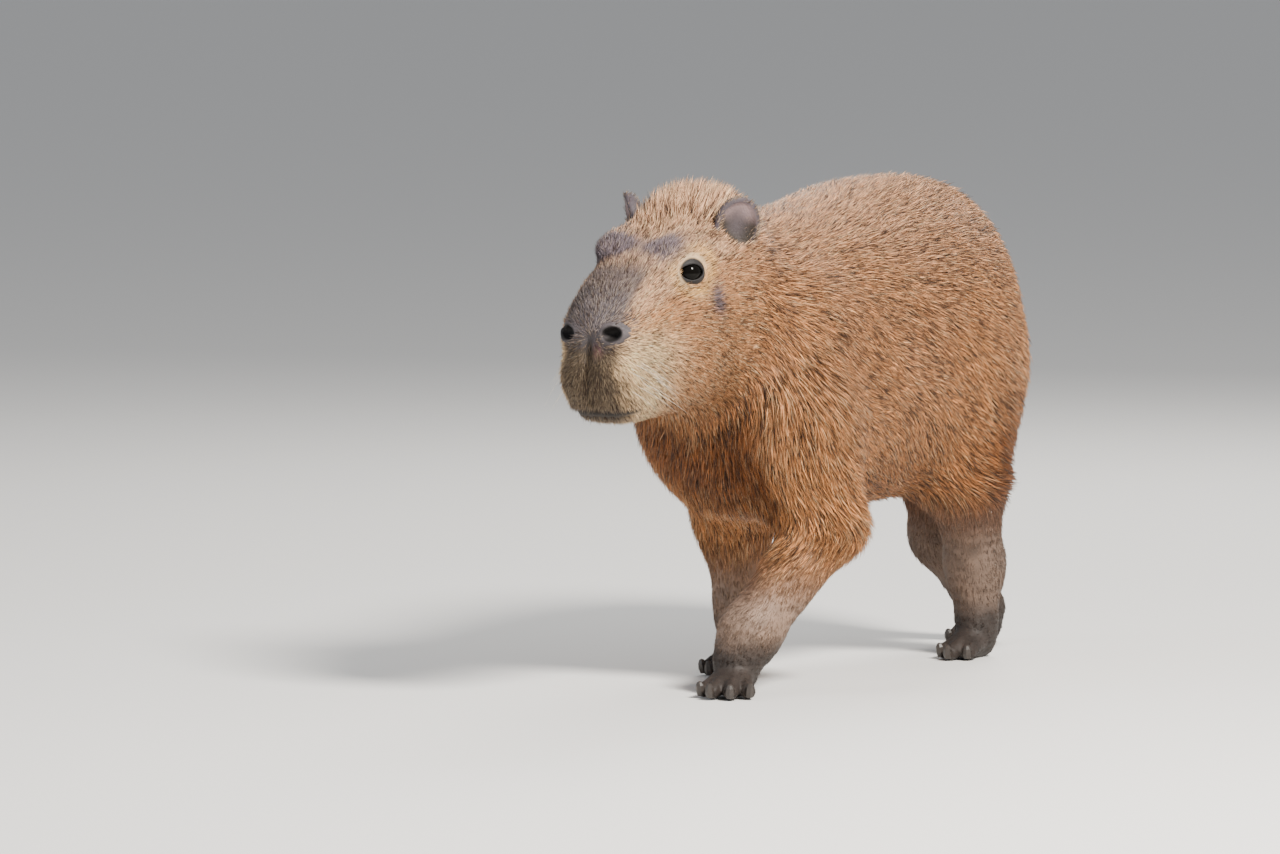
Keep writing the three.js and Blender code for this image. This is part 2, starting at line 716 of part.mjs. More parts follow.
// Nostrils, the mouth and the groove from the nose to the lip
const MOUTH_HEIGHT = -84;
const MOUTH_CORNER = 78; // how far back the mouth reaches
const SLIT = 2.4;
const slab = (size, centre, turn) => {
  const shape = new THREE.BoxGeometry(...size);
  shape.rotateX(deg(turn));
  shape.translate(...centre);
  shape.applyMatrix4(head.matrix);
  return solidOf(joined(shape));
};
const mouth = slab([150, 100, SLIT], [0, MOUTH_CORNER - 50, MOUTH_HEIGHT + 4], 8);
const philtrum = slab([SLIT, 40, 62], [0, 0, MOUTH_HEIGHT + 32], 0);
face = face.subtract(mouth.subtract(insideHead)).subtract(philtrum.subtract(insideHead));
for (const s of Object.values(SIDES)) {
  face = face.subtract(ball([s * 28, 0, 1], [10, 14, 6.5], [0, s * 18, s * 22]));
}
face = largest(face);

// Ears: cups that stand on the head
const EAR = { x: 66, y: 193, z: 110, radii: [12, 26, 33], wall: 4, turn: [0, 14, -40] };
const CUP_SHIFT = 9; // how far the cup's middle is moved out of the ear's middle
for (const [side, s] of Object.entries(SIDES)) {
  const turn = EAR.turn.map((angle, axis) => (axis === 0 ? angle : s * angle));
  const centre = [s * EAR.x, EAR.y, EAR.z];
  const cupRadii = EAR.radii.map((r) => r - EAR.wall);
  const mouthWay = new THREE.Vector3(s, 0, 0).applyEuler(new THREE.Euler(...turn.map(deg)));
  const cupCentre = mouthWay.multiplyScalar(CUP_SHIFT).add(V(...centre)).toArray();
  const ear = ball(centre, EAR.radii, turn).subtract(ball(cupCentre, cupRadii, turn));
  addNode(`ear_${side}`, largest(ear.subtract(aroundHead)), "ear");
}
addNode("head", face, "face");

// Legs
const claw = new THREE.LatheGeometry(
  [[0, -7], [4.6, -7], [5.6, 0], [4.6, 7], [2.6, 11.5], [0, 13]].map(([r, y]) => new THREE.Vector2(r, y)),
  7,
);
const CLAW_LIFT = 0.5; // height of the claws' undersides over the floor
const aboveFloor = (solid, height) => solid.subtract(halfSpace(V(0, 0, height), V(0, 0, -1)));
function clawAt(tip, turn, grow) {
  const shape = claw.clone();
  shape.scale(1 + grow / 5, 1 + grow / 10, 1 + grow / 5);
  shape.rotateX(deg(180));
  shape.rotateX(deg(-90));
  shape.scale(1, 1, 0.8);
  shape.rotateX(deg(14));
  shape.rotateZ(turn);
  shape.translate(...tip);
  return solidOf(joined(shape));
}
for (const [name, leg] of Object.entries(legs)) {
  const field = limbOnBody(name);
  const [, , third, ankle] = leg.joints;
  const low = [third.x - 210, third.y - 290, -40];
  const high = [third.x + 210, third.y + 260, 350];
  const hairy = withLocks(solidOf(surface(field, low, high, STEP.leg)), bodyLocks);
  const limb = largest(hairy.intersect(legSpace(leg, -GAP / 2)));
  let above = cut(limb, ANKLE_CUT).front;
  if (name === "hind_left") above = cut(above, THIGH_SPLIT).front;
  const upper = cut(above, leg.middle);
  if (name === "hind_right") upper.front = cut(upper.front, THIGH_SPLIT).behind;
  addNode(`${name}_upper`, upper.front, "coat");
  addNode(`${name}_lower`, upper.behind, "lower_leg");
  const footLow = [ankle.x - 85, ankle.y - 120, -22];
  const footHigh = [ankle.x + 85, ankle.y + 70, 100];
  let foot = cut(solidOf(surface(field, footLow, footHigh, STEP.foot)), ANKLE_CUT).behind;
  foot = aboveFloor(foot, 0);
  toesOf(name).forEach(({ tip, turn, way }, i) => {
    const place = tip.clone().addScaledVector(way, 6).toArray();
    addNode(`${name}_claw_${i + 1}`, aboveFloor(clawAt(place, turn, 0), CLAW_LIFT), "claw");
    foot = foot.subtract(clawAt(place, turn, GAP));
  });
  addNode(`${name}_foot`, largest(foot), "lower_leg");
}

// The row's origin is on the floor under the middle of the box round the animal
const box = new THREE.Box3().setFromObject(capybara);
const middle = box.getCenter(new THREE.Vector3());
capybara.position.set(-middle.x, -middle.y, 0);

export default capybara;
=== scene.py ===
"""A life-size walking capybara: skin, coat, eyes, claws and whiskers over the solid model."""

import math

import bpy
import numpy as np
import openvdb
from mathutils import Matrix, Vector


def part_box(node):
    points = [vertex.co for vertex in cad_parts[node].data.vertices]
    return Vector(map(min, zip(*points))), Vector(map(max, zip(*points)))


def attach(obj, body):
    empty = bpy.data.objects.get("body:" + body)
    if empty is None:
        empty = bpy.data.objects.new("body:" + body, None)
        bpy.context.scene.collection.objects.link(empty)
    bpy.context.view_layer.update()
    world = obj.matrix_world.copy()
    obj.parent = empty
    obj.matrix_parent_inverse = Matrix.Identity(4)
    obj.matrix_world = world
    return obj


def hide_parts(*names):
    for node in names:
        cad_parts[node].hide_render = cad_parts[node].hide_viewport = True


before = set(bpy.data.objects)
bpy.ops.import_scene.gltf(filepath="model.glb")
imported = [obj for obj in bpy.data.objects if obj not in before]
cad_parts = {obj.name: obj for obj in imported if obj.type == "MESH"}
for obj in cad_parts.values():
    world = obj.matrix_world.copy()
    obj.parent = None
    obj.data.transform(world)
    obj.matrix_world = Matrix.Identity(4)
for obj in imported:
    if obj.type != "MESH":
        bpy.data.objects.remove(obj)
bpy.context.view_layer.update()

# The animal's sizes in millimetres, in a frame whose origin is on the floor near the belly.
# The animal faces -y and its left side is +x. A side is 1 on the left and -1 on the right.
MM = 0.001
SIDES = (1, -1)
BACK = 552.0
BELLY = 180.0
WITHERS = 516.0
HALF_WIDTH = 153.0
RUMP_Y = 370.0
NOSE = np.array([-15.0, -450.0, 408.0])
HEAD_TURN = math.radians(-5.5)
SPINE_BEND = 1.75e-4
BEND_START = -100.0
EYE = np.array([52.5, 119.0, 62.0])
EYE_RADIUS = 13.5
EAR = np.array([66.0, 193.0, 110.0])
EAR_RADII = np.array([12.0, 26.0, 33.0])
EAR_TURN = (14.0, -40.0)

# How softly the forms of the flesh run into each other
BREAST_FILLET = 60.0
SHOULDER_FILLET = 50.0
HAUNCH_FILLET = 60.0
HEAD_FILLET = 34.0
LEG_FILLET = 44.0
JOINT_FILLET = 26.0
FOOT_FILLET = 14.0
TOE_FILLET = 5.0
CHEEK_FILLET = 30.0
BROW_FILLET = 24.0
NOSTRIL_FILLET = 8.0
LIP_FILLET = 10.0
HOLLOW_FILLET = 12.0

# Head coordinates have their origin at the nose, y running back and z up
HEAD_AXES = np.array([
    [math.cos(HEAD_TURN), math.sin(HEAD_TURN), 0.0],
    [-math.sin(HEAD_TURN), math.cos(HEAD_TURN), 0.0],
    [0.0, 0.0, 1.0],
])


def to_head(p):
    return (p - NOSE) @ HEAD_AXES.T


def from_head(q):
    return np.asarray(q, float) @ HEAD_AXES + NOSE


# The frame's origin, read from where the left eye is
EYE_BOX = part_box("eye_left")
ORIGIN = from_head(EYE) - np.array((EYE_BOX[0] + EYE_BOX[1]) / 2) / MM


def to_row(p):
    return (np.asarray(p) - ORIGIN) * MM


def smooth(value, low, high):
    """Rises softly from 0 at low to 1 at high, or falls where high is the smaller one."""
    t = np.clip((value - low) / (high - low), 0.0, 1.0)
    return t * t * (3.0 - 2.0 * t)


def length(v):
    return np.sqrt((v * v).sum(-1))


def unit(v):
    return v / np.maximum(length(v), 1e-9)[..., None]


def blend(a, b, w):
    """From a to b, as the weight goes from 0 to 1."""
    return a + (b - a) * np.asarray(w)


def mix(a, b, w):
    """Blends colours or vectors, with one weight for each."""
    return blend(a, b, np.asarray(w)[..., None])


def bell(distance, width):
    """1 at no distance, falling softly to 0 over the width."""
    return np.exp(-(distance / width) ** 2)


def spot(q, centre, radii):
    """1 at the centre of a soft spot, falling to 0 past its radii."""
    return np.exp(-(length((q - centre) / radii) ** 2))


def drift(p, scale, seed):
    """Soft random values that change over a distance of the scale, from a sum of waves."""
    rng = np.random.default_rng(seed)
    total = np.zeros(p.shape[:-1])
    for _ in range(7):
        way = rng.normal(size=3)
        way /= np.linalg.norm(way)
        total += np.sin(p @ way * (2 * math.pi / scale) * rng.uniform(0.6, 1.6) + rng.uniform(0, 6.28))
    return total / 3.0


# Signed distances in millimetres, negative inside
def ellipsoid(centre, radii):
    centre = np.array(centre, float)
    radii = np.array(radii, float)

    def field(p):
        q = (p - centre) / radii
        near = length(q)
        return near * (near - 1.0) / np.maximum(length(q / radii), 1e-6)

    return field


def limb_piece(a, ra, b, rb):
    """A cone from a to b with round ends of radius ra and rb."""
    a = np.array(a, float)
    b = np.array(b, float)
    axis = b - a
    length2 = axis @ axis
    fall = ra - rb
    side2 = length2 - fall * fall

    def field(p):
        rel = p - a
        along = rel @ axis
        past = along - length2
        off = rel * length2 - along[..., None] * axis
        off2 = (off * off).sum(-1)
        k = np.sign(fall) * fall * fall * off2
        past2 = past * past * length2
        along2 = along * along * length2
        middle = (np.sqrt(off2 * side2 / length2) + along * fall) / length2 - ra
        end_b = np.sqrt(off2 + past2) / length2 - rb
        end_a = np.sqrt(off2 + along2) / length2 - ra
        d = np.where(np.sign(along) * side2 * along2 < k, end_a, middle)
        return np.where(np.sign(past) * side2 * past2 > k, end_b, d)

    return field


def profile(at, values):
    """A smooth curve through the values at some places."""
    at = np.array(at, float)
    values = np.array(values, float)
    before = np.maximum(np.arange(len(at)) - 1, 0)
    after = np.minimum(np.arange(len(at)) + 1, len(at) - 1)
    slopes = (values[after] - values[before]) / (at[after] - at[before])

    def curve(y):
        y = np.clip(y, at[0], at[-1])
        i = np.clip(np.searchsorted(at, y) - 1, 0, len(at) - 2)
        span = at[i + 1] - at[i]
        t = (y - at[i]) / span
        rise = slopes[i] * span
        reach = slopes[i + 1] * span
        step = values[i + 1] - values[i]
        return values[i] + t * (rise + t * (3 * step - 2 * rise - reach + t * (rise + reach - 2 * step)))

    return curve


def loft(stations, front_radius, back_radius, sideways=None):
    """A body whose sections are (y, top, bottom, half width, squareness), with rounded ends."""
    columns = list(zip(*stations))
    top, bottom, half, square = [profile(columns[0], c) for c in columns[1:]]
    front = columns[0][0]
    back = columns[0][-1]

    def field(p):
        y = p[..., 1]
        at = np.clip(y, front, back)
        high = top(at)
        low = bottom(at)
        across = p[..., 0] - (sideways(y) if sideways else 0.0)
        up = p[..., 2] - (high + low) / 2
        near = np.hypot(across, up)
        n = square(at)
        share = (np.abs(across / half(at)) ** n + np.abs(2 * up / (high - low)) ** n) ** (1 / n)
        section = near * (1.0 - 1.0 / np.maximum(share, 1e-6))
        fore = y < (front + back) / 2
        ending = np.where(fore, front - y, y - back)
        radius = np.where(fore, front_radius, back_radius)
        s = section + radius
        e = ending + radius
        corner = np.hypot(np.maximum(s, 0), np.maximum(e, 0))
        return np.minimum(np.maximum(s, e), 0) + corner - radius

    return field


def fillet(a, b, k):
    """The union of two distances, rounded where they meet."""
    h = np.maximum(k - np.abs(a - b), 0) / k
    return np.minimum(a, b) - h * h * k / 4


def hollow(a, b, k):
    """The first distance with the second cut out of it, and a soft edge."""
    return -fillet(-a, b, k)


def spine_x(y):
    """How far the bent spine stands to the side at a place along the body."""
    return SPINE_BEND * np.maximum(y - BEND_START, 0.0) ** 2


# The flesh: the same forms as the solids
TORSO = loft([
    (-228, WITHERS - 12, BELLY + 92, 78, 2.1),
    (-140, WITHERS - 8, BELLY + 14, 112, 2.1),
    (-40, WITHERS + 4, BELLY + 2, 144, 2.1),
    (60, BACK - 16, BELLY, HALF_WIDTH, 2.1),
    (150, BACK - 2, BELLY + 4, HALF_WIDTH, 2.1),
    (235, BACK - 2, BELLY + 18, HALF_WIDTH - 21, 2.1),
    (305, BACK - 16, BELLY + 44, HALF_WIDTH - 38, 2.05),
    (RUMP_Y, BACK - 46, BELLY + 74, HALF_WIDTH - 50, 2.0),
], 60, 104, spine_x)
TORSO_PARTS = [
    (ellipsoid([-8, -200, 418], [84, 100, 110]), BREAST_FILLET),
    (ellipsoid([84, -120, 335], [56, 92, 132]), SHOULDER_FILLET),
    (ellipsoid([-66, -98, 335], [52, 84, 124]), SHOULDER_FILLET),
]
for s in SIDES:
    haunch = ellipsoid([spine_x(230.0) + s * 66, 224, 325], [64, 104, 132])
    TORSO_PARTS.append((haunch, HAUNCH_FILLET))
SKULL = loft([
    (0, 19, -72, 39, 2.8),
    (25, 43, -94, 47, 3),
    (60, 67, -98, 54, 3.2),
    (105, 94, -97, 60, 3.1),
    (150, 112, -92, 68, 2.7),
    (195, 136, -84, 75, 2.4),
    (240, 149, -78, 79, 2.2),
    (290, 142, -70, 80, 2.1),
], 26, 60)
SKULL_PARTS = []
for s in SIDES:
    SKULL_PARTS += [
        (ellipsoid([s * 42, 148, -26], [32, 62, 50]), CHEEK_FILLET),
        (ellipsoid([s * 43, 154, 84], [26, 64, 25]), BROW_FILLET),
        (ellipsoid([s * 25, 17, 0], [19, 21, 18]), NOSTRIL_FILLET),
        (ellipsoid([s * 18, 20, -46], [24, 24, 30]), LIP_FILLET),
    ]
EYE_HOLLOWS = [ellipsoid([s * 70, 86, 40], [15, 20, 14]) for s in SIDES]

LEGS = {
    "fore_left": {
        "joints": [(88, -150, 300), (106, -118, 182), (54, -201, 68), (45, -218, 36)],
        "radii": [58, 42, 32, 27],
        "turn": 12,
    },
    "fore_right": {
        "joints": [(-70, -95, 300), (-74, 6, 172), (-60, 6, 72), (-56, -8, 36)],
        "radii": [54, 43, 31, 27],
        "turn": 4,
    },
    "hind_left": {
        "joints": [(102, 230, 330), (110, 222, 205), (96, 274, 104), (100, 272, 38)],
        "radii": [66, 45, 32, 26],
        "turn": -6,
    },
    "hind_right": {
        "joints": [(-34, 240, 330), (8, 350, 204), (8, 366, 127), (34, 424, 42)],
        "radii": [66, 42, 34, 27],
        "turn": -2,
    },
}
TOES = {
    "fore": {
        "angles": [-30, -10, 10, 30],
        "lengths": [30, 42, 44, 34],
        "root": 14,
        "tip": 9.5,
        "spread": 18,
    },
    "hind": {
        "angles": [-20, 0, 20],
        "lengths": [30, 40, 30],
        "root": 15,
        "tip": 10,
        "spread": 16,
    },
}
TOE_ROOT = 19.0
TOE_TIP = 9.0
HEEL = {"back": 4, "height": 17, "radius": 20}
BALL = {"front": 16, "height": 13, "radius": 17}


def toes_of(name):
    """Root, tip and sizes of each toe of a leg."""
    leg = LEGS[name]
    plan = TOES[name[:4]]
    ankle = np.array(leg["joints"][3], float)
    toes = []
    for angle, reach in zip(plan["angles"], plan["lengths"]):
        turn = math.radians(angle + leg["turn"])
        way = np.array([math.sin(turn), -math.cos(turn), 0.0])
        root = np.array([ankle[0], ankle[1], TOE_ROOT]) + way * plan["spread"]
        tip = root + way * reach
        tip[2] = TOE_TIP
        toes.append((root, tip, plan))
    return toes


def leg_parts(name):
    leg = LEGS[name]
    joints = leg["joints"]
    radii = leg["radii"]
    parts = []
    for i in range(len(joints) - 1):
        piece = limb_piece(joints[i], radii[i], joints[i + 1], radii[i + 1])
        parts.append((piece, JOINT_FILLET))
    turn = math.radians(leg["turn"])
    x, y, _ = joints[-1]
    heel = (x, y + HEEL["back"], HEEL["height"])
    front = BALL["front"]
    ball = (x + front * math.sin(turn), y - front * math.cos(turn), BALL["height"])
    parts.append((limb_piece(heel, HEEL["radius"], ball, BALL["radius"]), FOOT_FILLET))
    for root, tip, plan in toes_of(name):
        parts.append((limb_piece(root, plan["root"], tip, plan["tip"]), TOE_FILLET))
    return parts


LEG_PARTS = {name: leg_parts(name) for name in LEGS}


def join(parts, p, start=None):
    d = start
    for field, k in parts:
        d = field(p) if d is None else fillet(d, field(p), k)
    return d


def skull(q):
    d = join(SKULL_PARTS, q, SKULL(q))
    for field in EYE_HOLLOWS:
        d = hollow(d, field(q), HOLLOW_FILLET)
    return d


def flesh(p):
    d = join(TORSO_PARTS, p, TORSO(p))
    d = fillet(d, skull(to_head(p)), HEAD_FILLET)
    for name in LEGS:
        d = fillet(d, join(LEG_PARTS[name], p), LEG_FILLET)
    return d


def zones(p):
    """How much of each part of the body a point belongs to, from 0 to 1, and its head coordinates."""
    q = to_head(p)
    z = p[..., 2]
    head = smooth(q[..., 1], 245, 195) * smooth(q[..., 2], -165, -125)
    hind = smooth(p[..., 1], 90, 150)
    return {
        "q": q,
        "head": head,
        "face": smooth(q[..., 1], 190, 130) * head,
        "muzzle": smooth(q[..., 1], 92, 52) * head,
        "ear": np.maximum(ear_share(q, 1), ear_share(q, -1)),
        "leg": smooth(z, 215, 160),
        "shank": blend(smooth(z, 172, 88), smooth(z, 220, 118), hind),
        "foot": smooth(z, 78, 34),
    }


# How deep the skin lies under the coat's tips, and how much less where the hair is shorter
DEPTH = 5.6
THINNER = {"head": 1.6, "face": 1.0, "muzzle": 1.4, "shank": 2.8, "foot": 1.3}
THINNER_BETWEEN_FORELEGS = 4.0
BETWEEN_FORELEGS = {"centre": (0, -90, 165), "radii": (75, 110, 60)}
LEAST_DEPTH = 1.0


def coat_depth(p):
    zone = zones(p)
    depth = DEPTH
    for name, less in THINNER.items():
        depth = depth - less * zone[name]
    away = length((p - BETWEEN_FORELEGS["centre"]) / BETWEEN_FORELEGS["radii"])
    depth = depth - THINNER_BETWEEN_FORELEGS * smooth(away, 1.2, 0.8)
    return np.maximum(depth, LEAST_DEPTH)


# Eyes, ears, nostrils and mouth, in head coordinates
def axes_from(forward, up):
    f = unit(np.array(forward, float))
    side = unit(np.cross(np.array(up, float), f))
    return np.array([side, np.cross(f, side), f])


EYE_AXES = {s: axes_from((s * 0.87, -0.46, 0.16), (s * 0.1, 0.25, 1)) for s in SIDES}


def in_eye(q, s):
    """Eye coordinates: x along the lids, y up and z out of the head."""
    return (q - EYE * (s, 1, 1)) @ EYE_AXES[s].T


def in_front(q, s):
    """1 on the side of an eye that is towards the nose, and 0 on its other side."""
    return smooth(-in_eye(q, s)[..., 0] * s, 4, 10)


def eye_ring(q, s):
    """Distance from an eye's axis, and how far out of the eye's centre a point is."""
    e = in_eye(q, s)
    return np.hypot(e[..., 0] / 1.15, e[..., 1]), e[..., 2]


def rotation(degrees, axis):
    return np.array(Matrix.Rotation(math.radians(degrees), 3, axis))


EAR_AXES = {s: rotation(s * EAR_TURN[0], "Y") @ rotation(s * EAR_TURN[1], "Z") for s in SIDES}


def in_ear(q, s):
    """Ear coordinates: x out of the cup, y back and z up."""
    return ((q - EAR * (s, 1, 1)) @ EAR_AXES[s]) * (s, 1, 1)


def rim_share(e):
    """How far out towards the ear's rim a point is, 1 at the rim."""
    return np.hypot(e[..., 1] / EAR_RADII[1], e[..., 2] / EAR_RADII[2])


def ear_share(q, s):
    """1 on an ear and 0 away from it."""
    e = in_ear(q, s)
    outer = ellipsoid((0, 0, 0), EAR_RADII + 1.0)(e)
    return smooth(outer, 4.0, 0.5) * smooth(e[..., 2], -24, -14)


EAR_CUP = {"centre": (9.0, 0.5, 1.5), "wall": (2.4, 4.6, 4.4)}
EAR_ROLL = {"share": 0.90, "out": 4.0, "radius": 3.4, "back": 12}
EAR_EDGE = 2.0


def ear(q, s):
    """The bowl of an ear and the rolled rim at its front."""
    e = in_ear(q, s)
    outer = ellipsoid((0, 0, 0), EAR_RADII - 0.4)(e)
    cup = ellipsoid(EAR_CUP["centre"], EAR_RADII - EAR_CUP["wall"])(e)
    bowl = hollow(outer, cup, EAR_EDGE)
    off_rim = (rim_share(e) - EAR_ROLL["share"]) * EAR_RADII[1]
    thick = EAR_ROLL["radius"] * smooth(e[..., 1], 14, -4)
    roll = np.hypot(off_rim, e[..., 0] - EAR_ROLL["out"]) - thick
    roll = np.maximum(roll, e[..., 1] - EAR_ROLL["back"])
    return fillet(bowl, roll + 0.6, EAR_EDGE)


# Lids: a bulge round the eyeball with an almond-shaped opening, wider to the front than to the back
LID_RADII = (18.0, 15.0, EYE_RADIUS + 1.6)
LID_FILLET = 7.0
LID_SLANT = 0.16
LID_UPPER = 7.8
LID_LOWER = 9.3
LID_FRONT = 15.5
LID_BACK = 12.0
LID_EDGE = 1.8


def lid_opening(e, s):
    front = -e[..., 0] * s
    slant = e[..., 1] + LID_SLANT * front
    high = np.where(slant > 0, LID_UPPER, LID_LOWER)
    wide = np.where(front > 0, LID_FRONT, LID_BACK)
    almond = (np.abs(slant) / high) ** 1.6 + (np.abs(front) / wide) ** 1.9
    return np.maximum((almond ** 0.55 - 1.0) * 9.5, 3.0 - e[..., 2])


# Each nostril is a slanted hole, with a groove over its wing
NOSTRIL = ellipsoid((0, 0, 0), (11.0, 7.6, 15.0))
NOSTRIL_PLACE = (29.5, 1.0, 1.0)
WING = ellipsoid((0, 0, 0), (13, 2.6, 4.5))
WING_PLACE = (40.0, 9.0, 9.0)


def in_nostril(q, s):
    return (q - np.array(NOSTRIL_PLACE) * (s, 1, 1)) @ axes_from((s * 0.42, -0.9, 0.0), (s * -0.28, 0, 1)).T


def from_nostril(q, s, radii):
    """Distance from the middle of a nostril, 1 on an ellipsoid of these radii."""
    return length((q - (s * 29, 4, 1)) / radii)


def in_wing(q, s):
    return (q - np.array(WING_PLACE) * (s, 1, 1)) @ axes_from((s * 0.8, -0.6, 0.1), (s * 0.45, 0.3, 1)).T


def skin(p):
    q = to_head(p)
    d = flesh(p) + coat_depth(p)
    for s in SIDES:
        e = in_eye(q, s)
        d = fillet(d, ellipsoid((0, 0, 0), LID_RADII)(e), LID_FILLET)
        d = hollow(d, lid_opening(e, s), LID_EDGE)
        d = fillet(d, ear(q, s), 5)
        d = hollow(d, NOSTRIL(in_nostril(q, s)), 4)
        d = hollow(d, WING(in_wing(q, s)), 3)
    return d


MOUTH_FRONT = -84.0
MOUTH_RISE = 11.0
MOUTH = {"width": 2.8, "depth": 4.6}
LIPS = {"width": 7.0, "height": 1.6}
CLEFT = {"width": 4.2, "depth": 4.2}
LID_CREASES = {"depth": 0.7, "inner": 18.0, "outer": 21.5}
LEG_FOLDS = {"depth": 0.35, "spacing": 2.1}
FOOT_FOLDS = 0.3


def mouth_line(q):
    """Height of the mouth at a point of the muzzle."""
    return MOUTH_FRONT + MOUTH_RISE * smooth(q[..., 1], 15, 90)


def press(p, normal):
    """Moves surface points along their normals for the fine lines of the skin."""
    q = to_head(p)
    z = q[..., 2]
    move = np.zeros(len(p))
    front = smooth(q[..., 1], 62, 40)
    off_mouth = z - mouth_line(q)
    mouth = bell(off_mouth, MOUTH["width"]) * front * (z < -60)
    lips = bell(off_mouth, LIPS["width"]) * front * (z < -55)
    move += LIPS["height"] * lips - MOUTH["depth"] * mouth
    cleft = bell(q[..., 0], CLEFT["width"]) * smooth(q[..., 1], 26, 14)
    cleft *= smooth(z, 6, -6) * smooth(z, -88, -80)
    move -= CLEFT["depth"] * cleft
    for s in SIDES:
        ring, ahead = eye_ring(q, s)
        near = bell(ring - LID_CREASES["inner"], 1.2) + 0.7 * bell(ring - LID_CREASES["outer"], 1.4)
        move -= LID_CREASES["depth"] * near * (ahead > 0)
    zone = zones(p)
    low_leg = zone["shank"] * (1 - 0.5 * zone["foot"])
    folds = np.sin(p[:, 2] / LEG_FOLDS["spacing"] + 2.2 * drift(p, 34, 51))
    folds = folds * smooth(drift(p, 46, 52), -0.5, 0.8)
    move += LEG_FOLDS["depth"] * low_leg * folds + FOOT_FOLDS * zone["foot"] * drift(p, 11, 53)
    return p + normal * move[:, None]


# Meshing
def slope_of(field, p, probe=0.35):
    """The value and the gradient of a field, from steps of the probe's length."""
    d = field(p)
    g = np.empty_like(p)
    for axis in range(3):
        q = p.copy()
        q[:, axis] += probe
        ahead = field(q)
        q[:, axis] -= 2 * probe
        g[:, axis] = (ahead - field(q)) / (2 * probe)
    return d, g


def in_pieces(function, p, size=400000):
    """A function's values at many points, a part at a time to save memory."""
    return np.concatenate([function(p[i:i + size]) for i in range(0, len(p), size)])


def mesh_field(field, low, high, step):
    """Points and quads of the field's zero inside a box. Only blocks near it are worked out."""
    block = 4
    low = np.array(low, float)
    count = np.ceil((np.array(high, float) - low) / (step * block)).astype(int)
    grid = np.stack(np.meshgrid(*[np.arange(n) for n in count], indexing="ij"), -1).reshape(-1, 3)
    centre = low + (grid + 0.5 - 0.5 / block) * step * block
    coarse = in_pieces(field, centre)
    near = np.abs(coarse) < step * block * 1.5 + 4.0
    fine = np.arange(block)
    inner = np.stack(np.meshgrid(fine, fine, fine, indexing="ij"), -1).reshape(-1, 3)
    index = grid[near][:, None, :] * block + inner[None]
    values = np.sign(coarse).astype(np.float32) * 3 * step
    dense = values.reshape(count)
    for axis in range(3):
        dense = np.repeat(dense, block, axis)
    dense = np.ascontiguousarray(dense)
    flat = index.reshape(-1, 3)
    exact = in_pieces(field, low + flat * step)
    dense[flat[:, 0], flat[:, 1], flat[:, 2]] = np.clip(exact, -3 * step, 3 * step)
    volume = openvdb.FloatGrid(3 * step)
    volume.copyFromArray(dense)
    points, quads = volume.convertToQuads(0)
    points = low + points.astype(float) * step
    for _ in range(2):
        d, g = slope_of(field, points)
        steep = np.maximum((g * g).sum(-1), 0.2)
        points -= (np.clip(d, -0.6 * step, 0.6 * step) / steep)[:, None] * g
    return points, quads.astype(int)


def keep_faces(points, faces, wanted):
    """The faces whose middles pass the test, and only the points that they use."""
    faces = faces[wanted(points[faces].mean(1))]
    used = np.unique(faces)
    order = np.full(len(points), -1)
    order[used] = np.arange(len(used))
    return points[used], order[faces]


# Where the regions of the skin's mesh end, how far they lap, their steps, and the height of the soles
BODY_LOW = np.array([-200.0, -500.0, -40.0])
BODY_HIGH = np.array([220.0, 470.0, 620.0])
HEAD_END = 228.0
HEAD_LOW = -175.0
FOOT_TOP = 74.0
EYE_REACH = 27.0
LAP = 1.2
EYE_LAP = 0.5
BODY_STEP = 4.0
FINE_STEP = 2.0
EYE_STEP = 0.9
FOOT_ROOM = {"side": 64, "front": 94, "back": 56}
SOLE = 0.3


def eye_distance(p):
    q = to_head(p)
    return np.minimum(length(q - EYE), length(q - EYE * (-1, 1, 1)))


def in_head(p, lap=0.0):
    q = to_head(p)
    return (q[..., 1] < HEAD_END + lap) & (q[..., 2] > HEAD_LOW - lap)


def on_body(p):
    return ~in_head(p) & (p[..., 2] > FOOT_TOP)


def on_head(p):
    return in_head(p, LAP) & (eye_distance(p) > EYE_REACH)


def near_eye(p):
    return eye_distance(p) < EYE_REACH + EYE_LAP


def on_foot(x, y):
    """A test for the foot of the leg whose ankle is at x and y."""

    def test(p):
        across = abs(p[..., 0] - x) < FOOT_ROOM["side"]
        along = (p[..., 1] > y - FOOT_ROOM["front"]) & (p[..., 1] < y + FOOT_ROOM["back"])
        return across & along & (p[..., 2] < FOOT_TOP + LAP)

    return test


def skin_regions():
    """Lowest and highest corner, step and test of each region of the skin."""
    middle = from_head([[0, 110, 20]])[0]
    regions = [
        (BODY_LOW, BODY_HIGH, BODY_STEP, on_body),
        (middle - (130, 160, 210), middle + (130, 160, 190), FINE_STEP, on_head),
    ]
    for s in SIDES:
        centre = from_head(EYE * (s, 1, 1))
        reach = EYE_REACH + 6
        regions.append((centre - reach, centre + reach, EYE_STEP, near_eye))
    for leg in LEGS.values():
        x, y, _ = leg["joints"][-1]
        regions.append(((x - 70, y - 100, -12), (x + 70, y + 60, 100), FINE_STEP, on_foot(x, y)))
    return regions


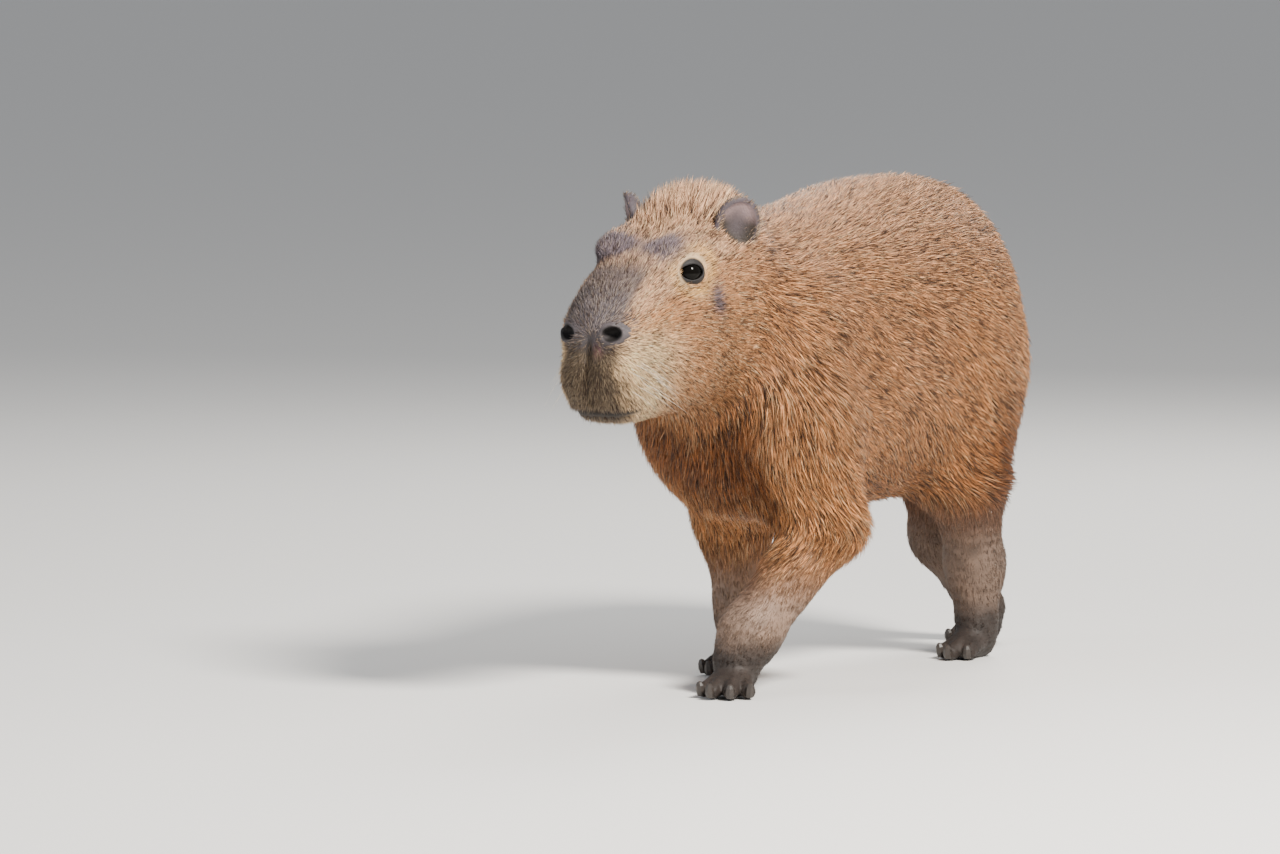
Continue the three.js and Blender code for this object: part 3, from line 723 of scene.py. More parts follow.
def make_skin():
    """One surface from regions of finer and coarser steps that share the same form."""
    all_points = []
    all_faces = []
    start = 0
    for low, high, step, wanted in skin_regions():
        points, faces = mesh_field(skin, low, high, step)
        points, faces = keep_faces(points, faces, wanted)
        _, g = slope_of(skin, points)
        points = press(points, unit(g))
        a, b, c = (points[faces[:, i]] for i in range(3))
        facing = (np.cross(b - a, c - a) * g[faces[:, 0]]).sum(-1)
        if np.median(facing) < 0:
            faces = faces[:, ::-1]
        all_points.append(points)
        all_faces.append(faces + start)
        start += len(points)
    points = np.concatenate(all_points)
    points[:, 2] = np.maximum(points[:, 2], SOLE)
    return points, np.concatenate(all_faces)


def new_mesh(name, points, faces, colours=None):
    """A smooth object from points in millimetres and faces of one size."""
    mesh = bpy.data.meshes.new(name)
    size = faces.shape[1]
    mesh.vertices.add(len(points))
    mesh.vertices.foreach_set("co", to_row(points).astype(np.float32).ravel())
    mesh.loops.add(faces.size)
    mesh.loops.foreach_set("vertex_index", faces.astype(np.int32).ravel())
    mesh.polygons.add(len(faces))
    mesh.polygons.foreach_set("loop_start", np.arange(0, faces.size, size, dtype=np.int32))
    mesh.update(calc_edges=True)
    mesh.shade_smooth()
    if colours is not None:
        layer = mesh.color_attributes.new("tint", "FLOAT_COLOR", "POINT")
        rgba = np.ones((len(points), 4), np.float32)
        rgba[:, :3] = colours
        layer.data.foreach_set("color", rgba.ravel())
    piece = bpy.data.objects.new(name, mesh)
    bpy.context.scene.collection.objects.link(piece)
    return piece


# Colours, as linear red, green and blue
RUST = np.array([0.52, 0.218, 0.074])
RED_BROWN = np.array([0.49, 0.225, 0.098])
# Deep rust of the breast, thighs and belly, darkened further as painted shade
DEEP_RUST_AND_SHADE = np.array([0.185, 0.058, 0.013])
# Tan of the back, made paler as painted sky reflection
TOP_TAN_AND_SKY_SHEEN = np.array([0.53, 0.285, 0.158])
TAN = np.array([0.62, 0.375, 0.185])
CHEEK_TAN = np.array([0.43, 0.195, 0.078])
CROWN_TAN = np.array([0.49, 0.285, 0.172])
PALE = np.array([0.90, 0.69, 0.44])
CREAM = np.array([0.93, 0.66, 0.38])
DARK = np.array([0.040, 0.019, 0.011])
GREY = np.array([0.105, 0.088, 0.094])
GREY_BROWN = np.array([0.050, 0.036, 0.026])
SHANK = np.array([0.232, 0.160, 0.120])
FOOT = np.array([0.027, 0.020, 0.017])
PATCH_GREY = np.array([0.140, 0.110, 0.128])
AMBER = np.array([0.66, 0.38, 0.13])
PINK = np.array([0.30, 0.12, 0.12])
EAR_PINK = np.array([0.200, 0.138, 0.138])
BLACK = np.array([0.012, 0.010, 0.010])


# The marks round the two eyes differ
AMBER_SHARE = {1: 0.8, -1: 0.25}
BROW_SPREAD = {1: 0.0, -1: 0.8}


def body_colour(p, head):
    """Rusty flanks, a back paler towards the top as painted sky reflection on its tan, and deep rust darkened
    as painted shade at the breast, thighs and belly.
    """
    across, along, high = np.moveaxis(p, -1, 0)
    colour = mix(np.broadcast_to(RED_BROWN, p.shape), RUST, 0.65 * smooth(drift(p, 150, 3), -0.9, 0.9))
    colour = mix(colour, RUST, 0.6 * smooth(high, 400, 240))
    # Painted light: the top of the back is paler, its tan colour lifted by painted sky reflection.
    colour = mix(colour, TOP_TAN_AND_SKY_SHEEN, 0.85 * smooth(high, 415, 535))
    # Painted shade: the breast, the low backs of the thighs and the low belly turn deep rust, their rusty
    # colour deepened by the shade under the body.
    breast = smooth(along, -110, -190) * smooth(high, 400, 340) * smooth(across, 90, 55)
    colour = mix(colour, DEEP_RUST_AND_SHADE, 0.95 * breast * (1 - head))
    colour = mix(colour, DEEP_RUST_AND_SHADE, 0.95 * smooth(along, 150, 220) * smooth(high, 345, 240))
    return mix(colour, DEEP_RUST_AND_SHADE, 0.55 * smooth(high, 300, 200) * smooth(along, -60, 0))


def head_colour(colour, zone):
    """Adds the cheeks, the crown, the marks round the eyes, and the grey muzzle, nose and chin."""
    q = zone["q"]
    x, y, z = np.moveaxis(q, -1, 0)
    head = zone["head"]
    colour = mix(colour, CHEEK_TAN, 0.85 * head * smooth(z, 75, -10))
    colour = mix(colour, CREAM, 0.9 * zone["face"] * smooth(z, 20, -25) * smooth(y, 116, 42))
    colour = mix(colour, CROWN_TAN, 0.8 * head * smooth(z - 0.45 * (y - 60), 15, 40))
    for s in SIDES:
        ring, ahead = eye_ring(q, s)
        colour = mix(colour, AMBER, AMBER_SHARE[s] * bell(ring - 23, 7.0) * (ahead > -12))
        patch = spot(q, (s * 30, 98, 88), (28, 20, 19)) + 0.8 * spot(q, (s * 68, 152, 32), (12, 10, 17))
        patch += BROW_SPREAD[s] * spot(q, (s * 44, 104, 74), (24, 26, 20))
        colour = mix(colour, PATCH_GREY, np.clip(1.5 * patch, 0, 0.97))
    bridge = zone["muzzle"] * smooth(z - 0.18 * y, -10, 10) * smooth(np.abs(x), 42, 30)
    colour = mix(colour, GREY, 0.9 * bridge)
    wander = 4 * drift(q, 30, 12)
    front = smooth(y, 46, 20) * head * smooth(np.abs(x) + wander + 0.10 * (z + 80), 47, 31)
    nose = mix(np.broadcast_to(GREY_BROWN, q.shape), GREY, smooth(z, -22, 6))
    colour = mix(colour, nose, 0.92 * front)
    chin = head * smooth(z, -76, -84) * smooth(y, 60, 25)
    return mix(colour, GREY_BROWN, 0.6 * chin)


def markings_and_painted_light(p):
    """The coat's middle colour at a point, with painted shade and painted sky reflection in it."""
    zone = zones(p)
    colour = head_colour(body_colour(p, zone["head"]), zone)
    colour = mix(colour, GREY_BROWN * 2.4, 0.9 * zone["ear"])
    # Painted shade: the hind legs' shanks are a third darker than the forelegs'.
    grey_leg = np.broadcast_to(SHANK, p.shape) * (1 - 0.35 * smooth(p[..., 1], 90, 150))[..., None]
    colour = mix(colour, grey_leg, 0.92 * zone["shank"])
    return mix(colour, FOOT, 0.95 * zone["foot"])


def skin_colour(p):
    """The coat's markings, darkened as painted shade between the tufts, with the bare parts of the head."""
    zone = zones(p)
    q = zone["q"]
    x, y, z = np.moveaxis(q, -1, 0)
    head = zone["head"]
    # Painted shade: the skin under the coat is darker than the coat, most of all on the body, as the shade
    # between the tufts.
    colour = markings_and_painted_light(p) * (0.55 + 0.25 * zone["shank"])[..., None]
    colour = mix(colour, DARK * 1.5, 0.45 * (1 - head) * (1 - zone["shank"]))
    colour = mix(colour, GREY * 0.6, head * smooth(y, 40, 22) * smooth(z, -24, -10))
    for s in SIDES:
        ring, ahead = eye_ring(q, s)
        colour = mix(colour, CREAM * 0.55, smooth(ring, 24.0, 18.0) * (ahead > 0) * AMBER_SHARE[s])
        colour = mix(colour, BLACK, smooth(ring, 15.6, 13.2) * (ahead > 0))
        # Painted shade: the nostril holes are coloured black.
        colour = mix(colour, BLACK, smooth(from_nostril(q, s, (11, 16, 8.5)), 1.15, 0.95))
        e = in_ear(q, s)
        # The ear: a grey rim and back, and a bowl of pink skin that turns dark low down, partly brown hair
        # and partly painted shade in the cup.
        cup = smooth(e[..., 0], -3, 3) * smooth(rim_share(e), 0.86, 0.76)
        inner = mix(np.broadcast_to(GREY_BROWN * 0.5, p.shape), EAR_PINK, smooth(e[..., 2], 0, 16))
        tint = mix(np.broadcast_to(PATCH_GREY * 0.42, p.shape), inner, cup)
        colour = mix(colour, tint, smooth(ear(q, s), 4, 1.5) * ear_share(q, s))
    # Painted shade: the mouth's slit is coloured near black.
    mouth = bell(z - mouth_line(q) + 1, 4.2) * smooth(y, 56, 36) * head
    colour = mix(colour, BLACK * 1.4, np.clip(mouth * 1.2, 0, 1))
    lip = bell(z - mouth_line(q) - 3, 6.0) * smooth(y, 60, 25) * head
    colour = mix(colour, GREY_BROWN * 0.6, 0.7 * lip)
    # Painted shade: a dark line along the groove of the lip's cleft.
    cleft = head * bell(x, 5.0) * smooth(y, 30, 15) * smooth(z, 0, -12)
    colour = mix(colour, GREY_BROWN * 0.4, 0.7 * cleft)
    colour = mix(colour, PINK, 0.45 * spot(q, (12, 2, -18), (6, 12, 7)))
    colour = mix(colour, FOOT * 0.9, 0.7 * zone["foot"])
    return np.clip(colour * (1 + 0.16 * drift(p, 26, 8)[..., None]), 0.004, 1)


# The coat. On the head the hair flows away from a place at the nose, on a leg it follows the bones.
FLOW_CENTRE = np.array([0.0, 6.0, -6.0])
LEG_LINES = [
    (np.array(a, float), np.array(b, float))
    for leg in LEGS.values()
    for a, b in zip(leg["joints"][:-1], leg["joints"][1:])
]


def lie(p, n, zone):
    """The way the hair lies at a point, along the surface."""
    q = zone["q"]
    _, y, z = np.moveaxis(p, -1, 0)
    fall = 0.12 + 0.55 * smooth(z, 520, 380) + 0.9 * smooth(y, 240, 350) * smooth(z, 520, 430)
    fall += 0.9 * smooth(y, -90, -200) * smooth(z, 430, 350)
    fall *= blend(1, smooth(z, 195, 235), smooth(y, -120, -50))
    way = np.stack([np.zeros(len(p)), np.ones(len(p)), -fall], -1)
    away = unit(q - FLOW_CENTRE)
    away[..., 2] -= 0.25 * smooth(q[..., 1], 60, 150) * smooth(q[..., 2], 60, 0)
    way = unit(mix(unit(way), away @ HEAD_AXES, zone["head"]))
    best = np.full(len(p), 1e9)
    down = np.zeros_like(p)
    for a, b in LEG_LINES:
        axis = b - a
        t = np.clip(((p - a) @ axis) / (axis @ axis), 0, 1)
        gap = length(p - a - t[:, None] * axis)
        nearer = gap < best
        best = np.where(nearer, gap, best)
        down[nearer] = axis / np.linalg.norm(axis)
    down = unit(down + (0, 0.12, -0.1))
    flat = smooth(z, 60, 30)
    down = unit(mix(down, np.array([0, -1.0, -0.2]), flat))
    way = unit(mix(way, down, zone["leg"]))
    way = way - (way * n).sum(-1)[:, None] * n
    return unit(way)


TUFT_LENGTH = 19.0
TUFT_LIFT = 12.0
ELBOWS = [(104, -72, 205), (-76, 52, 205)]


def coat_plan(p):
    """Length and width in millimetres and lift in degrees of the tufts at a point."""
    zone = zones(p)
    q = zone["q"]
    head = zone["head"]
    _, y, z = np.moveaxis(p, -1, 0)
    under = (1 - head) * (1 - zone["leg"])
    throat = under * smooth(y, -120, -210) * smooth(z, 400, 330)
    elbow = sum(spot(p, place, (50, 34, 40)) for place in ELBOWS)
    crown = head * smooth(q[..., 1], 110, 180) * smooth(q[..., 2] - 0.4 * q[..., 1], 15, 45)
    crown *= smooth(np.abs(q[..., 0]), 56, 40)
    nape = smooth(y, -60, -150) * smooth(z, 480, 530) * (1 - head)
    bristles = zone["muzzle"] * smooth(q[..., 2], -15, -60)
    size = np.full(len(p), TUFT_LENGTH)
    size += 8 * under * smooth(z, 250, 200) + 9 * throat + 9 * elbow
    size = size * (1 - 0.34 * head) * (1 - 0.15 * zone["face"]) * (1 - 0.12 * zone["muzzle"])
    size += 14 * crown
    size = size * (1 - 0.48 * zone["shank"]) * (1 - 0.35 * zone["foot"])
    size = size * (1 - 0.35 * zone["ear"])
    lift = TUFT_LIFT + 3 * smooth(z, 420, 520)
    lift += 34 * crown + 8 * nape + 3 * zone["face"] + 5 * zone["muzzle"] + 8 * bristles
    lift -= 3 * zone["shank"]
    lift = lift * (1 - 0.5 * zone["ear"])
    width = 0.72 + 0.024 * size + 0.30 * head - 0.2 * zone["muzzle"]
    return size, width, lift


def triangles_of(faces):
    return np.concatenate([faces[:, [0, 1, 2]], faces[:, [0, 2, 3]]])


def vertex_normals(points, triangles):
    a, b, c = (points[triangles[:, i]] for i in range(3))
    face = np.cross(b - a, c - a)
    normals = np.zeros_like(points)
    for i in range(3):
        np.add.at(normals, triangles[:, i], face)
    return unit(normals)


def scatter(points, normals, triangles, weight, count, rng):
    """Random roots on the triangles, as dense as the weight at their middles asks."""
    a, b, c = (points[triangles[:, i]] for i in range(3))
    area = length(np.cross(b - a, c - a)) / 2
    share = np.cumsum(area * weight((a + b + c) / 3))
    chosen = np.searchsorted(share, rng.uniform(0, share[-1], count))
    u = rng.uniform(0, 1, (count, 1))
    v = rng.uniform(0, 1, (count, 1))
    over = u + v > 1
    u = np.where(over, 1 - u, u)
    v = np.where(over, 1 - v, v)
    corners = [triangles[chosen, i] for i in range(3)]
    shares = [1 - u - v, u, v]
    root = sum(points[i] * w for i, w in zip(corners, shares))
    normal = unit(sum(normals[i] * w for i, w in zip(corners, shares)))
    return root, normal


def bare(p):
    """Where no hair grows: the eyes, the nostrils, the claws, the soles and the mouth."""
    q = to_head(p)
    hide = smooth(p[..., 2], 7, 3)
    for s in SIDES:
        ring, ahead = eye_ring(q, s)
        e = in_ear(q, s)
        low_hair = 0.75 * smooth(e[..., 2], 10, -8) * (e[..., 0] > -4)
        for share in (
            smooth(ring, 15.6, 14.6) * (ahead > -4),
            smooth(ring, 18.6, 16.4) * (ahead > -4) * in_front(q, s),
            smooth(from_nostril(q, s, (14, 18, 10)), 1.3, 1.05),
            0.55 * smooth(length((q - (s * 9, 2, -14)) / (13, 14, 13)), 1.2, 0.8),
            ear_share(q, s) * (0.78 - low_hair),
        ):
            hide = np.maximum(hide, share)
    mouth = np.abs(q[..., 2] - mouth_line(q) + 1) < 4.0
    return np.maximum(hide, mouth * (q[..., 1] < 46) * (q[..., 1] > -40) * 1.0)


def long_weight(p):
    """How dense the bent tufts are: on the body and the crown, hardly on the face or the legs."""
    zone = zones(p)
    q = zone["q"]
    crown = zone["head"] * smooth(q[..., 1], 110, 170) * smooth(q[..., 2] - 0.4 * q[..., 1], 0, 30)
    body = (1 - zone["head"]) * (1 - zone["shank"])
    return (body + 1.8 * crown + 0.02) * (1 - bare(p)) * (1 - zone["ear"])


SHORT_WEIGHTS = {"head": 1.9, "face": 0.5, "muzzle": 1.0, "ear": 2.0, "leg": 1.6}


def short_weight(p):
    """How dense the straight tufts are: most on the head."""
    zone = zones(p)
    weight = (1 - zone["head"]) * (1 - zone["leg"])
    for name, more in SHORT_WEIGHTS.items():
        weight = weight + more * zone[name]
    return weight * (1 - bare(p))


# The faces of a bent tuft of seven points and of a straight one of four
BENT = np.array([
    [0, 2, 3], [2, 5, 3], [2, 1, 5], [1, 4, 5], [1, 0, 4], [0, 3, 4],
    [3, 5, 6], [5, 4, 6], [4, 3, 6], [0, 1, 2],
])
STRAIGHT = np.array([[0, 2, 3], [2, 1, 3], [1, 0, 3], [0, 1, 2]])


# Tufts lean together in clumps, one to a cell of this size, by no more than the reach
CLUMP_CELL = 6.5
CLUMP_REACH = 3.5
CLUMP_MIX = np.array([12.9898, 78.233, 37.719])
CLUMP_SPREAD = np.array([437.585, 225.781, 196.423])


def pull_together(root, normal, cell, reach):
    """Moves towards the middle of a tuft's clump, as a vector along the skin."""
    number = np.floor(root / cell)
    chance = np.sin(np.sin(number @ CLUMP_MIX)[:, None] * CLUMP_SPREAD)
    pull = (number + 0.5 + 0.5 * chance) * cell - root
    pull -= (pull * normal).sum(-1)[:, None] * normal
    return pull * np.minimum(1.0, reach / np.maximum(length(pull), 1e-6))[:, None]


def tuft_colours(root, rng, bent):
    """Dark roots, the coat's colour in the middle and pale tips, with dark and pale strands."""
    zone = zones(root)
    head = zone["head"]
    smooth_leg = 1 - 0.60 * zone["shank"]
    base = markings_and_painted_light(root)
    tone = rng.normal(0, 1, len(root))
    warm = smooth((base[:, 0] - base[:, 2]) / base[:, 0], 0.35, 0.6) * smooth(base[:, 0], 0.12, 0.42)
    dark = smooth(tone + 0.35 * drift(root, 26, 41), 0.50, 0.80) * smooth_leg
    rare = 1.0 - 0.25 * head - 0.3 * zone["muzzle"]
    pale = smooth(-tone + 0.40 * drift(root, 19, 43), rare, rare + 0.4)
    base = base * np.exp(0.24 * rng.normal(0, 1, len(root)))[:, None]
    middle = mix(base * 1.08, DARK, 0.92 * dark)
    middle = mix(middle, TAN, 0.45 * pale * smooth_leg * warm)
    tip = mix(middle * 1.2, TAN, 0.20 * (1 - dark) * smooth_leg * warm)
    tip = mix(tip, PALE, 0.60 * pale * smooth_leg * (0.35 + 0.65 * warm))
    foot = middle * (0.38 + 0.25 * zone["shank"])[:, None]
    if bent:
        return np.stack([foot] * 3 + [middle] * 3 + [tip], 1)
    return np.stack([middle * 0.62] * 3 + [tip], 1)


ROOT_DEPTH = 0.8
LENGTH_SPREAD = (0.6, 1.25)
WIDTH_SPREAD = (0.75, 1.25)


def turned(way, other, angle):
    """A direction turned towards a second one, at a right angle to it, by an angle."""
    return way * np.cos(angle)[:, None] + other * np.sin(angle)[:, None]


def grow(root, normal, rng, bent):
    """The points, faces and colours of one tuft at each root."""
    count = len(root)
    zone = zones(root)
    way = lie(root, normal, zone)
    size, width, lift = coat_plan(root)
    size = size * rng.uniform(*LENGTH_SPREAD, count)
    width = width * rng.uniform(*WIDTH_SPREAD, count)
    turn = np.radians(rng.normal(0, 7, count) + 8 * drift(root, 120, 21) + 4 * drift(root, 40, 22))
    way = turned(way, np.cross(normal, way), turn)
    side = np.cross(normal, way)
    pull = pull_together(root, normal, CLUMP_CELL, CLUMP_REACH) * (1 - 0.8 * zone["head"])[:, None]
    uneven = rng.normal(0, 1, count) * (1.5 + 0.22 * lift)
    lift = np.radians(np.clip(lift + uneven + 3 * drift(root, 60, 31), 4, 75))
    start = root - normal * ROOT_DEPTH
    half = (width / 2)[:, None]
    thick = (0.4 * width)[:, None]

    def ring(at, k):
        return [at + side * half * k, at - side * half * k, at + normal * thick * k]

    if bent:
        middle = start + turned(way, normal, lift * 1.25) * (0.5 * size)[:, None] + 0.12 * pull
        tip = middle + turned(way, normal, lift * 0.6) * (0.5 * size)[:, None] + 0.42 * pull
        points = np.stack(ring(start, 1.0) + ring(middle, 0.85) + [tip], 1)
    else:
        tip = start + turned(way, normal, lift) * (0.9 * size)[:, None] + 0.45 * pull
        points = np.stack(ring(start, 1.0) + [tip], 1)
    pattern = BENT if bent else STRAIGHT
    faces = (np.arange(count) * points.shape[1])[:, None, None] + pattern[None]
    colours = np.clip(tuft_colours(root, rng, bent), 0.004, 0.95)
    return points.reshape(-1, 3), faces.reshape(-1, 3), colours.reshape(-1, 3)


# Each tuft's patch of the map: its size, the map's empty edge and the width that roots take up
PATCH = 0.003
MAP_EDGE = 0.01
MAP_SPAN = 0.98
BENT_CORNERS = [(0, 0), (1, 0), (0.5, 0.1), (0.1, 0.55), (0.9, 0.55), (0.5, 0.6), (0.5, 1)]
STRAIGHT_CORNERS = [(0, 0), (1, 0), (0.5, 0.3), (0.5, 1)]


def fill_map(piece, where, faces, bent):
    """Gives each tuft a small patch of the map, at its root's place on the unwrapped skin."""
    low = where.min(0)
    span = where.max(0) - low
    place = MAP_EDGE + (where - low) / span * (MAP_SPAN - PATCH)
    corner = place[:, None, :] + np.array(BENT_CORNERS if bent else STRAIGHT_CORNERS)[None] * PATCH
    layer = piece.data.uv_layers.new(name="OFBake")
    layer.data.foreach_set("uv", corner.reshape(-1, 2)[faces.ravel()].astype(np.float32).ravel())


def unwrapped(p):
    """Angle round the head and the distance from the nose, and angle round the body and place along it."""
    q = to_head(p)
    head = np.stack([np.arctan2(q[:, 0], q[:, 2] + 15), length(q - (0, 25, -20))], -1)
    body = np.stack([np.arctan2(p[:, 0] - spine_x(p[:, 1]), p[:, 2] - 350), p[:, 1]], -1)
    return head, body


# Most triangles in one piece, numbers of tufts, the height below which hair is on a leg,
# and which joint of a leg is its wrist or hock
LIMIT = 195000
LONG_TUFTS = 52000
SHORT_TUFTS = 236000
LEG_TOP = 190.0
LOW_JOINT = 2


def leg_numbers(p):
    """Which leg a low point belongs to."""
    joints = np.array([leg["joints"][LOW_JOINT] for leg in LEGS.values()], float)
    return np.argmin(((p[:, None, :2] - joints[None, :, :2]) ** 2).sum(-1), 1)


def make_coat(points, faces, material):
    """Tufts over the whole skin, in pieces by part of the body."""
    rng = np.random.default_rng(11)
    share = 1.0
    triangles = triangles_of(faces)
    normals = vertex_normals(points, triangles)
    for kind, bent, weight, count in (
        ("long", True, long_weight, LONG_TUFTS),
        ("short", False, short_weight, SHORT_TUFTS),
    ):
        root, normal = scatter(points, normals, triangles, weight, int(share * count), rng)
        head_map, body_map = unwrapped(root)
        is_head = in_head(root)
        on_leg = ~is_head & (root[:, 2] < LEG_TOP)
        groups = {"head": (is_head, head_map), "body": (~is_head & ~on_leg, body_map)}
        nearest = leg_numbers(root)
        for number, (name, leg) in enumerate(LEGS.items()):
            x, y, _ = leg["joints"][LOW_JOINT]
            leg_map = np.stack([np.arctan2(root[:, 0] - x, root[:, 1] - y), root[:, 2]], -1)
            groups[name] = (on_leg & (nearest == number), leg_map)
        most = LIMIT // (len(BENT) if bent else len(STRAIGHT))
        for name, (members, where) in groups.items():
            members = np.flatnonzero(members)
            members = members[np.argsort(where[members, 0], kind="stable")]
            for part, chunk in enumerate(np.array_split(members, math.ceil(len(members) / most))):
                tuft_points, tuft_faces, colours = grow(root[chunk], normal[chunk], rng, bent)
                piece = new_mesh(f"coat_{kind}_{name}_{part + 1}", tuft_points, tuft_faces, colours)
                fill_map(piece, where[chunk], tuft_faces, bent)
                piece.data.materials.append(material)
                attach(piece, "root")


WHISKERS = 16
WHISKER_RADIUS = 0.32
WHISKER_SIDES = 5
WHISKER_STEPS = 5


def add_whisker(points, faces, root, way, reach):
    """A thin drooping cone with a closed root."""
    sides = WHISKER_SIDES
    first = len(points)
    droop = np.array([0, 0.12, -0.3]) * reach
    a = np.cross(way, (0, 0, 1.0))
    b = np.cross(way, a)
    for step in range(WHISKER_STEPS):
        t = step / WHISKER_STEPS
        middle = root + way * reach * t + droop * t * t
        radius = WHISKER_RADIUS * (1 - t)
        for k in range(sides):
            angle = 2 * math.pi * k / sides
            points.append(middle + radius * (a * math.cos(angle) + b * math.sin(angle)))
    points.append(root + way * reach + droop)
    last = first + (WHISKER_STEPS - 1) * sides
    for low in range(first, last, sides):
        for k in range(sides):
            m = (k + 1) % sides
            faces.append([low + k, low + m, low + sides + m])
            faces.append([low + k, low + sides + m, low + sides + k])
    for k in range(sides):
        faces.append([last + k, last + (k + 1) % sides, len(points) - 1])
    for k in range(1, sides - 1):
        faces.append([first, first + k + 1, first + k])


def make_whiskers(material):
    """Long pale bristles on both sides of the muzzle."""
    rng = np.random.default_rng(5)
    points = []
    faces = []
    for s in SIDES:
        for _ in range(WHISKERS):
            root = np.array([s * (36 + 6 * rng.uniform()), 16 + 34 * rng.uniform(), -60 + 42 * rng.uniform()])
            way = unit(np.array([s * 1.0, 0.25 + 0.5 * rng.uniform(), -0.25 - 0.5 * rng.uniform()]))
            add_whisker(points, faces, root, way, rng.uniform(34, 62))
    piece = new_mesh("whiskers", from_head(np.array(points)), np.array(faces))
    piece.data.materials.append(material)
    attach(piece, "root")


# Materials
BUMP_HEIGHT = 0.0012


def plain(name, roughness, colour=None, specular=None):
    """A material whose values are the same all over."""
    material = bpy.data.materials.new(name)
    material.use_nodes = True
    inputs = material.node_tree.nodes["Principled BSDF"].inputs
    inputs["Roughness"].default_value = roughness
    if colour:
        inputs["Base Color"].default_value = (*colour, 1)
    if specular:
        inputs["Specular IOR Level"].default_value = specular
    return material


def tinted(name, roughness, specular, noise_scale, noise_share, bump_scale=0, bump=0):
    """Colour from the mesh's tint, broken up by noise, with a fine bump."""
    material = plain(name, roughness, specular=specular)
    nodes = material.node_tree.nodes
    links = material.node_tree.links
    shader = nodes["Principled BSDF"]
    tint = nodes.new("ShaderNodeVertexColor")
    tint.layer_name = "tint"
    place = nodes.new("ShaderNodeTexCoord")
    noise = nodes.new("ShaderNodeTexNoise")
    noise.inputs["Scale"].default_value = noise_scale
    noise.inputs["Detail"].default_value = 3
    links.new(place.outputs["Object"], noise.inputs["Vector"])
    spread = nodes.new("ShaderNodeMapRange")
    spread.inputs["From Min"].default_value = 0.3
    spread.inputs["From Max"].default_value = 0.7
    spread.inputs["To Min"].default_value = 1 - noise_share
    spread.inputs["To Max"].default_value = 1 + noise_share
    links.new(noise.outputs["Fac"], spread.inputs["Value"])
    product = nodes.new("ShaderNodeVectorMath")
    product.operation = "SCALE"
    links.new(tint.outputs["Color"], product.inputs[0])
    links.new(spread.outputs["Result"], product.inputs["Scale"])
    links.new(product.outputs["Vector"], shader.inputs["Base Color"])
    if bump:
        grain = nodes.new("ShaderNodeTexNoise")
        grain.inputs["Scale"].default_value = bump_scale
        grain.inputs["Detail"].default_value = 4
        links.new(place.outputs["Object"], grain.inputs["Vector"])
        relief = nodes.new("ShaderNodeBump")
        relief.inputs["Strength"].default_value = bump
        relief.inputs["Distance"].default_value = BUMP_HEIGHT
        links.new(grain.outputs["Fac"], relief.inputs["Height"])
        links.new(relief.outputs["Normal"], shader.inputs["Normal"])
    return material


# Skin
skin_points, skin_faces = make_skin()
skin_piece = new_mesh("skin", skin_points, skin_faces, in_pieces(skin_colour, skin_points))
skin_piece.data.materials.append(
    tinted("skin", 0.62, 0.35, noise_scale=60, noise_share=0.16, bump_scale=420, bump=0.6)
)
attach(skin_piece, "root")
flesh_nodes = [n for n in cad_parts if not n.startswith("eye") and "_claw_" not in n]
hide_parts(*flesh_nodes)

# Coat
make_coat(skin_points, skin_faces, tinted("coat", 0.58, 0.32, noise_scale=240, noise_share=0.10))
make_whiskers(plain("whisker", 0.45, (0.72, 0.64, 0.52)))

# Eyes
eye_material = plain("eye", 0.07, (0.003, 0.0025, 0.002), specular=0.09)
for side in ("left", "right"):
    low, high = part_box(f"eye_{side}")
    middle = (low + high) / 2
    bpy.ops.mesh.primitive_uv_sphere_add(segments=48, ring_count=32, radius=EYE_RADIUS * MM, location=middle)
    eyeball = bpy.context.object
    eyeball.name = f"eyeball_{side}"
    eyeball.data.transform(eyeball.matrix_world)
    eyeball.matrix_world = Matrix.Identity(4)
    eyeball.data.shade_smooth()
    eyeball.data.materials.append(eye_material)
    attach(eyeball, "root")
    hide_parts(f"eye_{side}")

# Claws
claw_material = plain("claw", 0.42, (0.035, 0.028, 0.024))
for name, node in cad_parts.items():
    if "_claw_" in name:
        node.data.materials.clear()
        node.data.materials.append(claw_material)

# Floor, lights and camera
bpy.ops.mesh.primitive_plane_add(size=40, location=(0, 0, 0))
floor = bpy.context.object
floor.name = "floor"
floor.data.materials.append(plain("floor", 0.85, (0.78, 0.77, 0.75)))

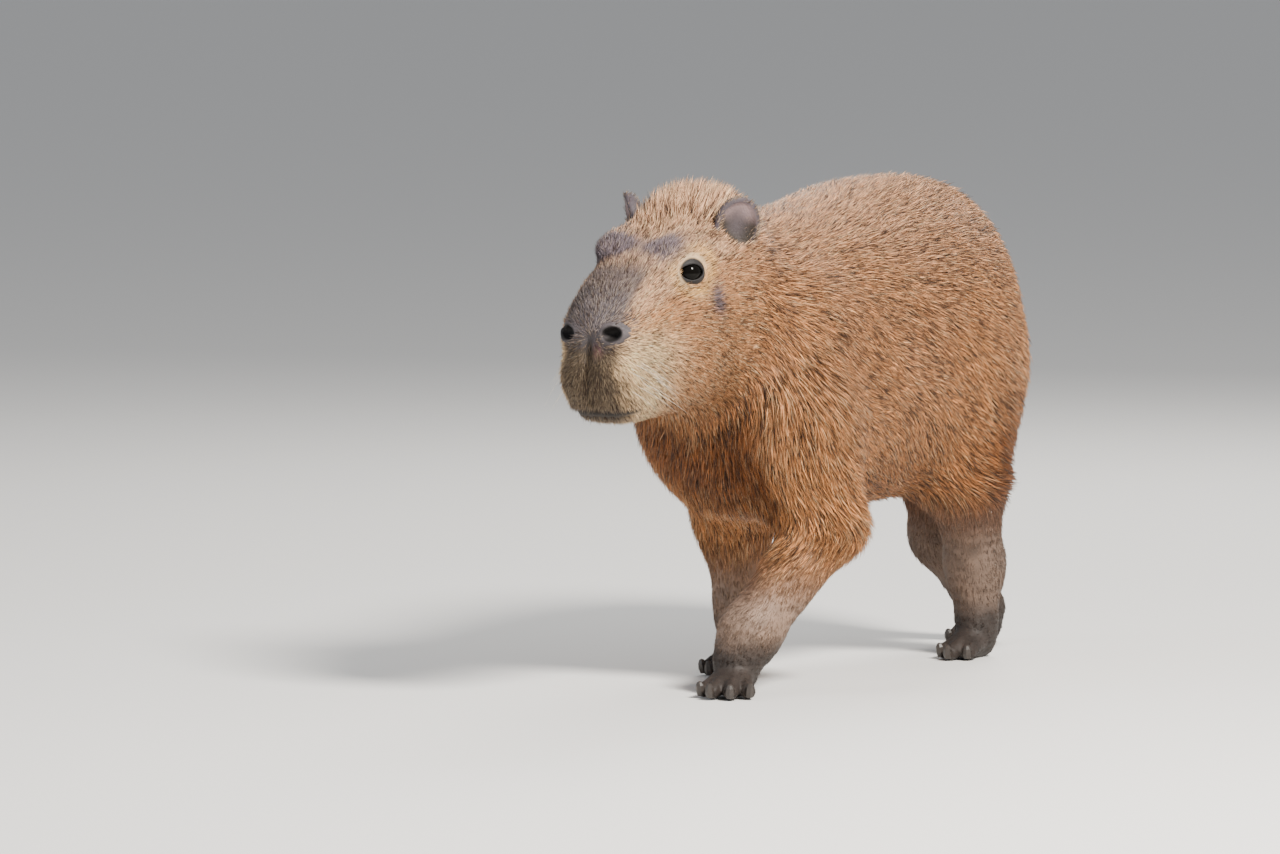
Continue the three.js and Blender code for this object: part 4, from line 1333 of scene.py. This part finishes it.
world = bpy.data.worlds.new("studio")
bpy.context.scene.world = world
world.use_nodes = True
sky = world.node_tree.nodes["Background"]
sky.inputs["Color"].default_value = (0.92, 0.95, 1.0, 1)
sky.inputs["Strength"].default_value = 0.42
LIT_PLACE = (0, 0, 0.3)


def area_light(name, place, size, power, colour):
    """A round soft light that faces the animal."""
    data = bpy.data.lights.new(name, "AREA")
    data.shape = "DISK"
    data.size = size
    data.energy = power
    data.color = colour
    lamp = bpy.data.objects.new(name, data)
    lamp.location = place
    aim = Vector(LIT_PLACE) - Vector(place)
    lamp.rotation_euler = aim.to_track_quat("-Z", "Y").to_euler()
    bpy.context.scene.collection.objects.link(lamp)


area_light("key", (2.7, -1.5, 2.9), size=1.0, power=455, colour=(1.0, 0.95, 0.88))
area_light("fill", (-2.4, -2.6, 1.8), size=2.2, power=36, colour=(0.9, 0.95, 1.0))
area_light("rim", (-0.6, 2.8, 2.4), size=1.6, power=80, colour=(1.0, 0.97, 0.92))

# The camera sees the animal as the photograph does. Pixels are those of the photograph's frame.
FRAME_SIZE = (1280, 854)
SENSOR_WIDTH = 36
AZIMUTH = math.radians(27)
ELEVATION = math.radians(6)
DISTANCE = 11.0
FOCAL_PIXELS = 9845.0
ORIGIN_PIXEL = (790.0, 674.0)
back_way = Vector((
    math.sin(AZIMUTH) * math.cos(ELEVATION),
    -math.cos(AZIMUTH) * math.cos(ELEVATION),
    math.sin(ELEVATION),
))
right_way = Vector((math.cos(AZIMUTH), math.sin(AZIMUTH), 0))
up_way = back_way.cross(right_way)
camera_data = bpy.data.cameras.new("camera")
camera = bpy.data.objects.new("camera", camera_data)
bpy.context.scene.collection.objects.link(camera)
camera_data.sensor_width = SENSOR_WIDTH
camera_data.lens = FOCAL_PIXELS * SENSOR_WIDTH / FRAME_SIZE[0]
camera_data.clip_end = 100
camera.location = Vector(to_row(np.zeros(3))) + back_way * DISTANCE
aim = (
    right_way * ((FRAME_SIZE[0] / 2 - ORIGIN_PIXEL[0]) / FOCAL_PIXELS)
    + up_way * ((ORIGIN_PIXEL[1] - FRAME_SIZE[1] / 2) / FOCAL_PIXELS)
    - back_way
)
camera.rotation_euler = aim.to_track_quat("-Z", "Y").to_euler()
bpy.context.scene.camera = camera
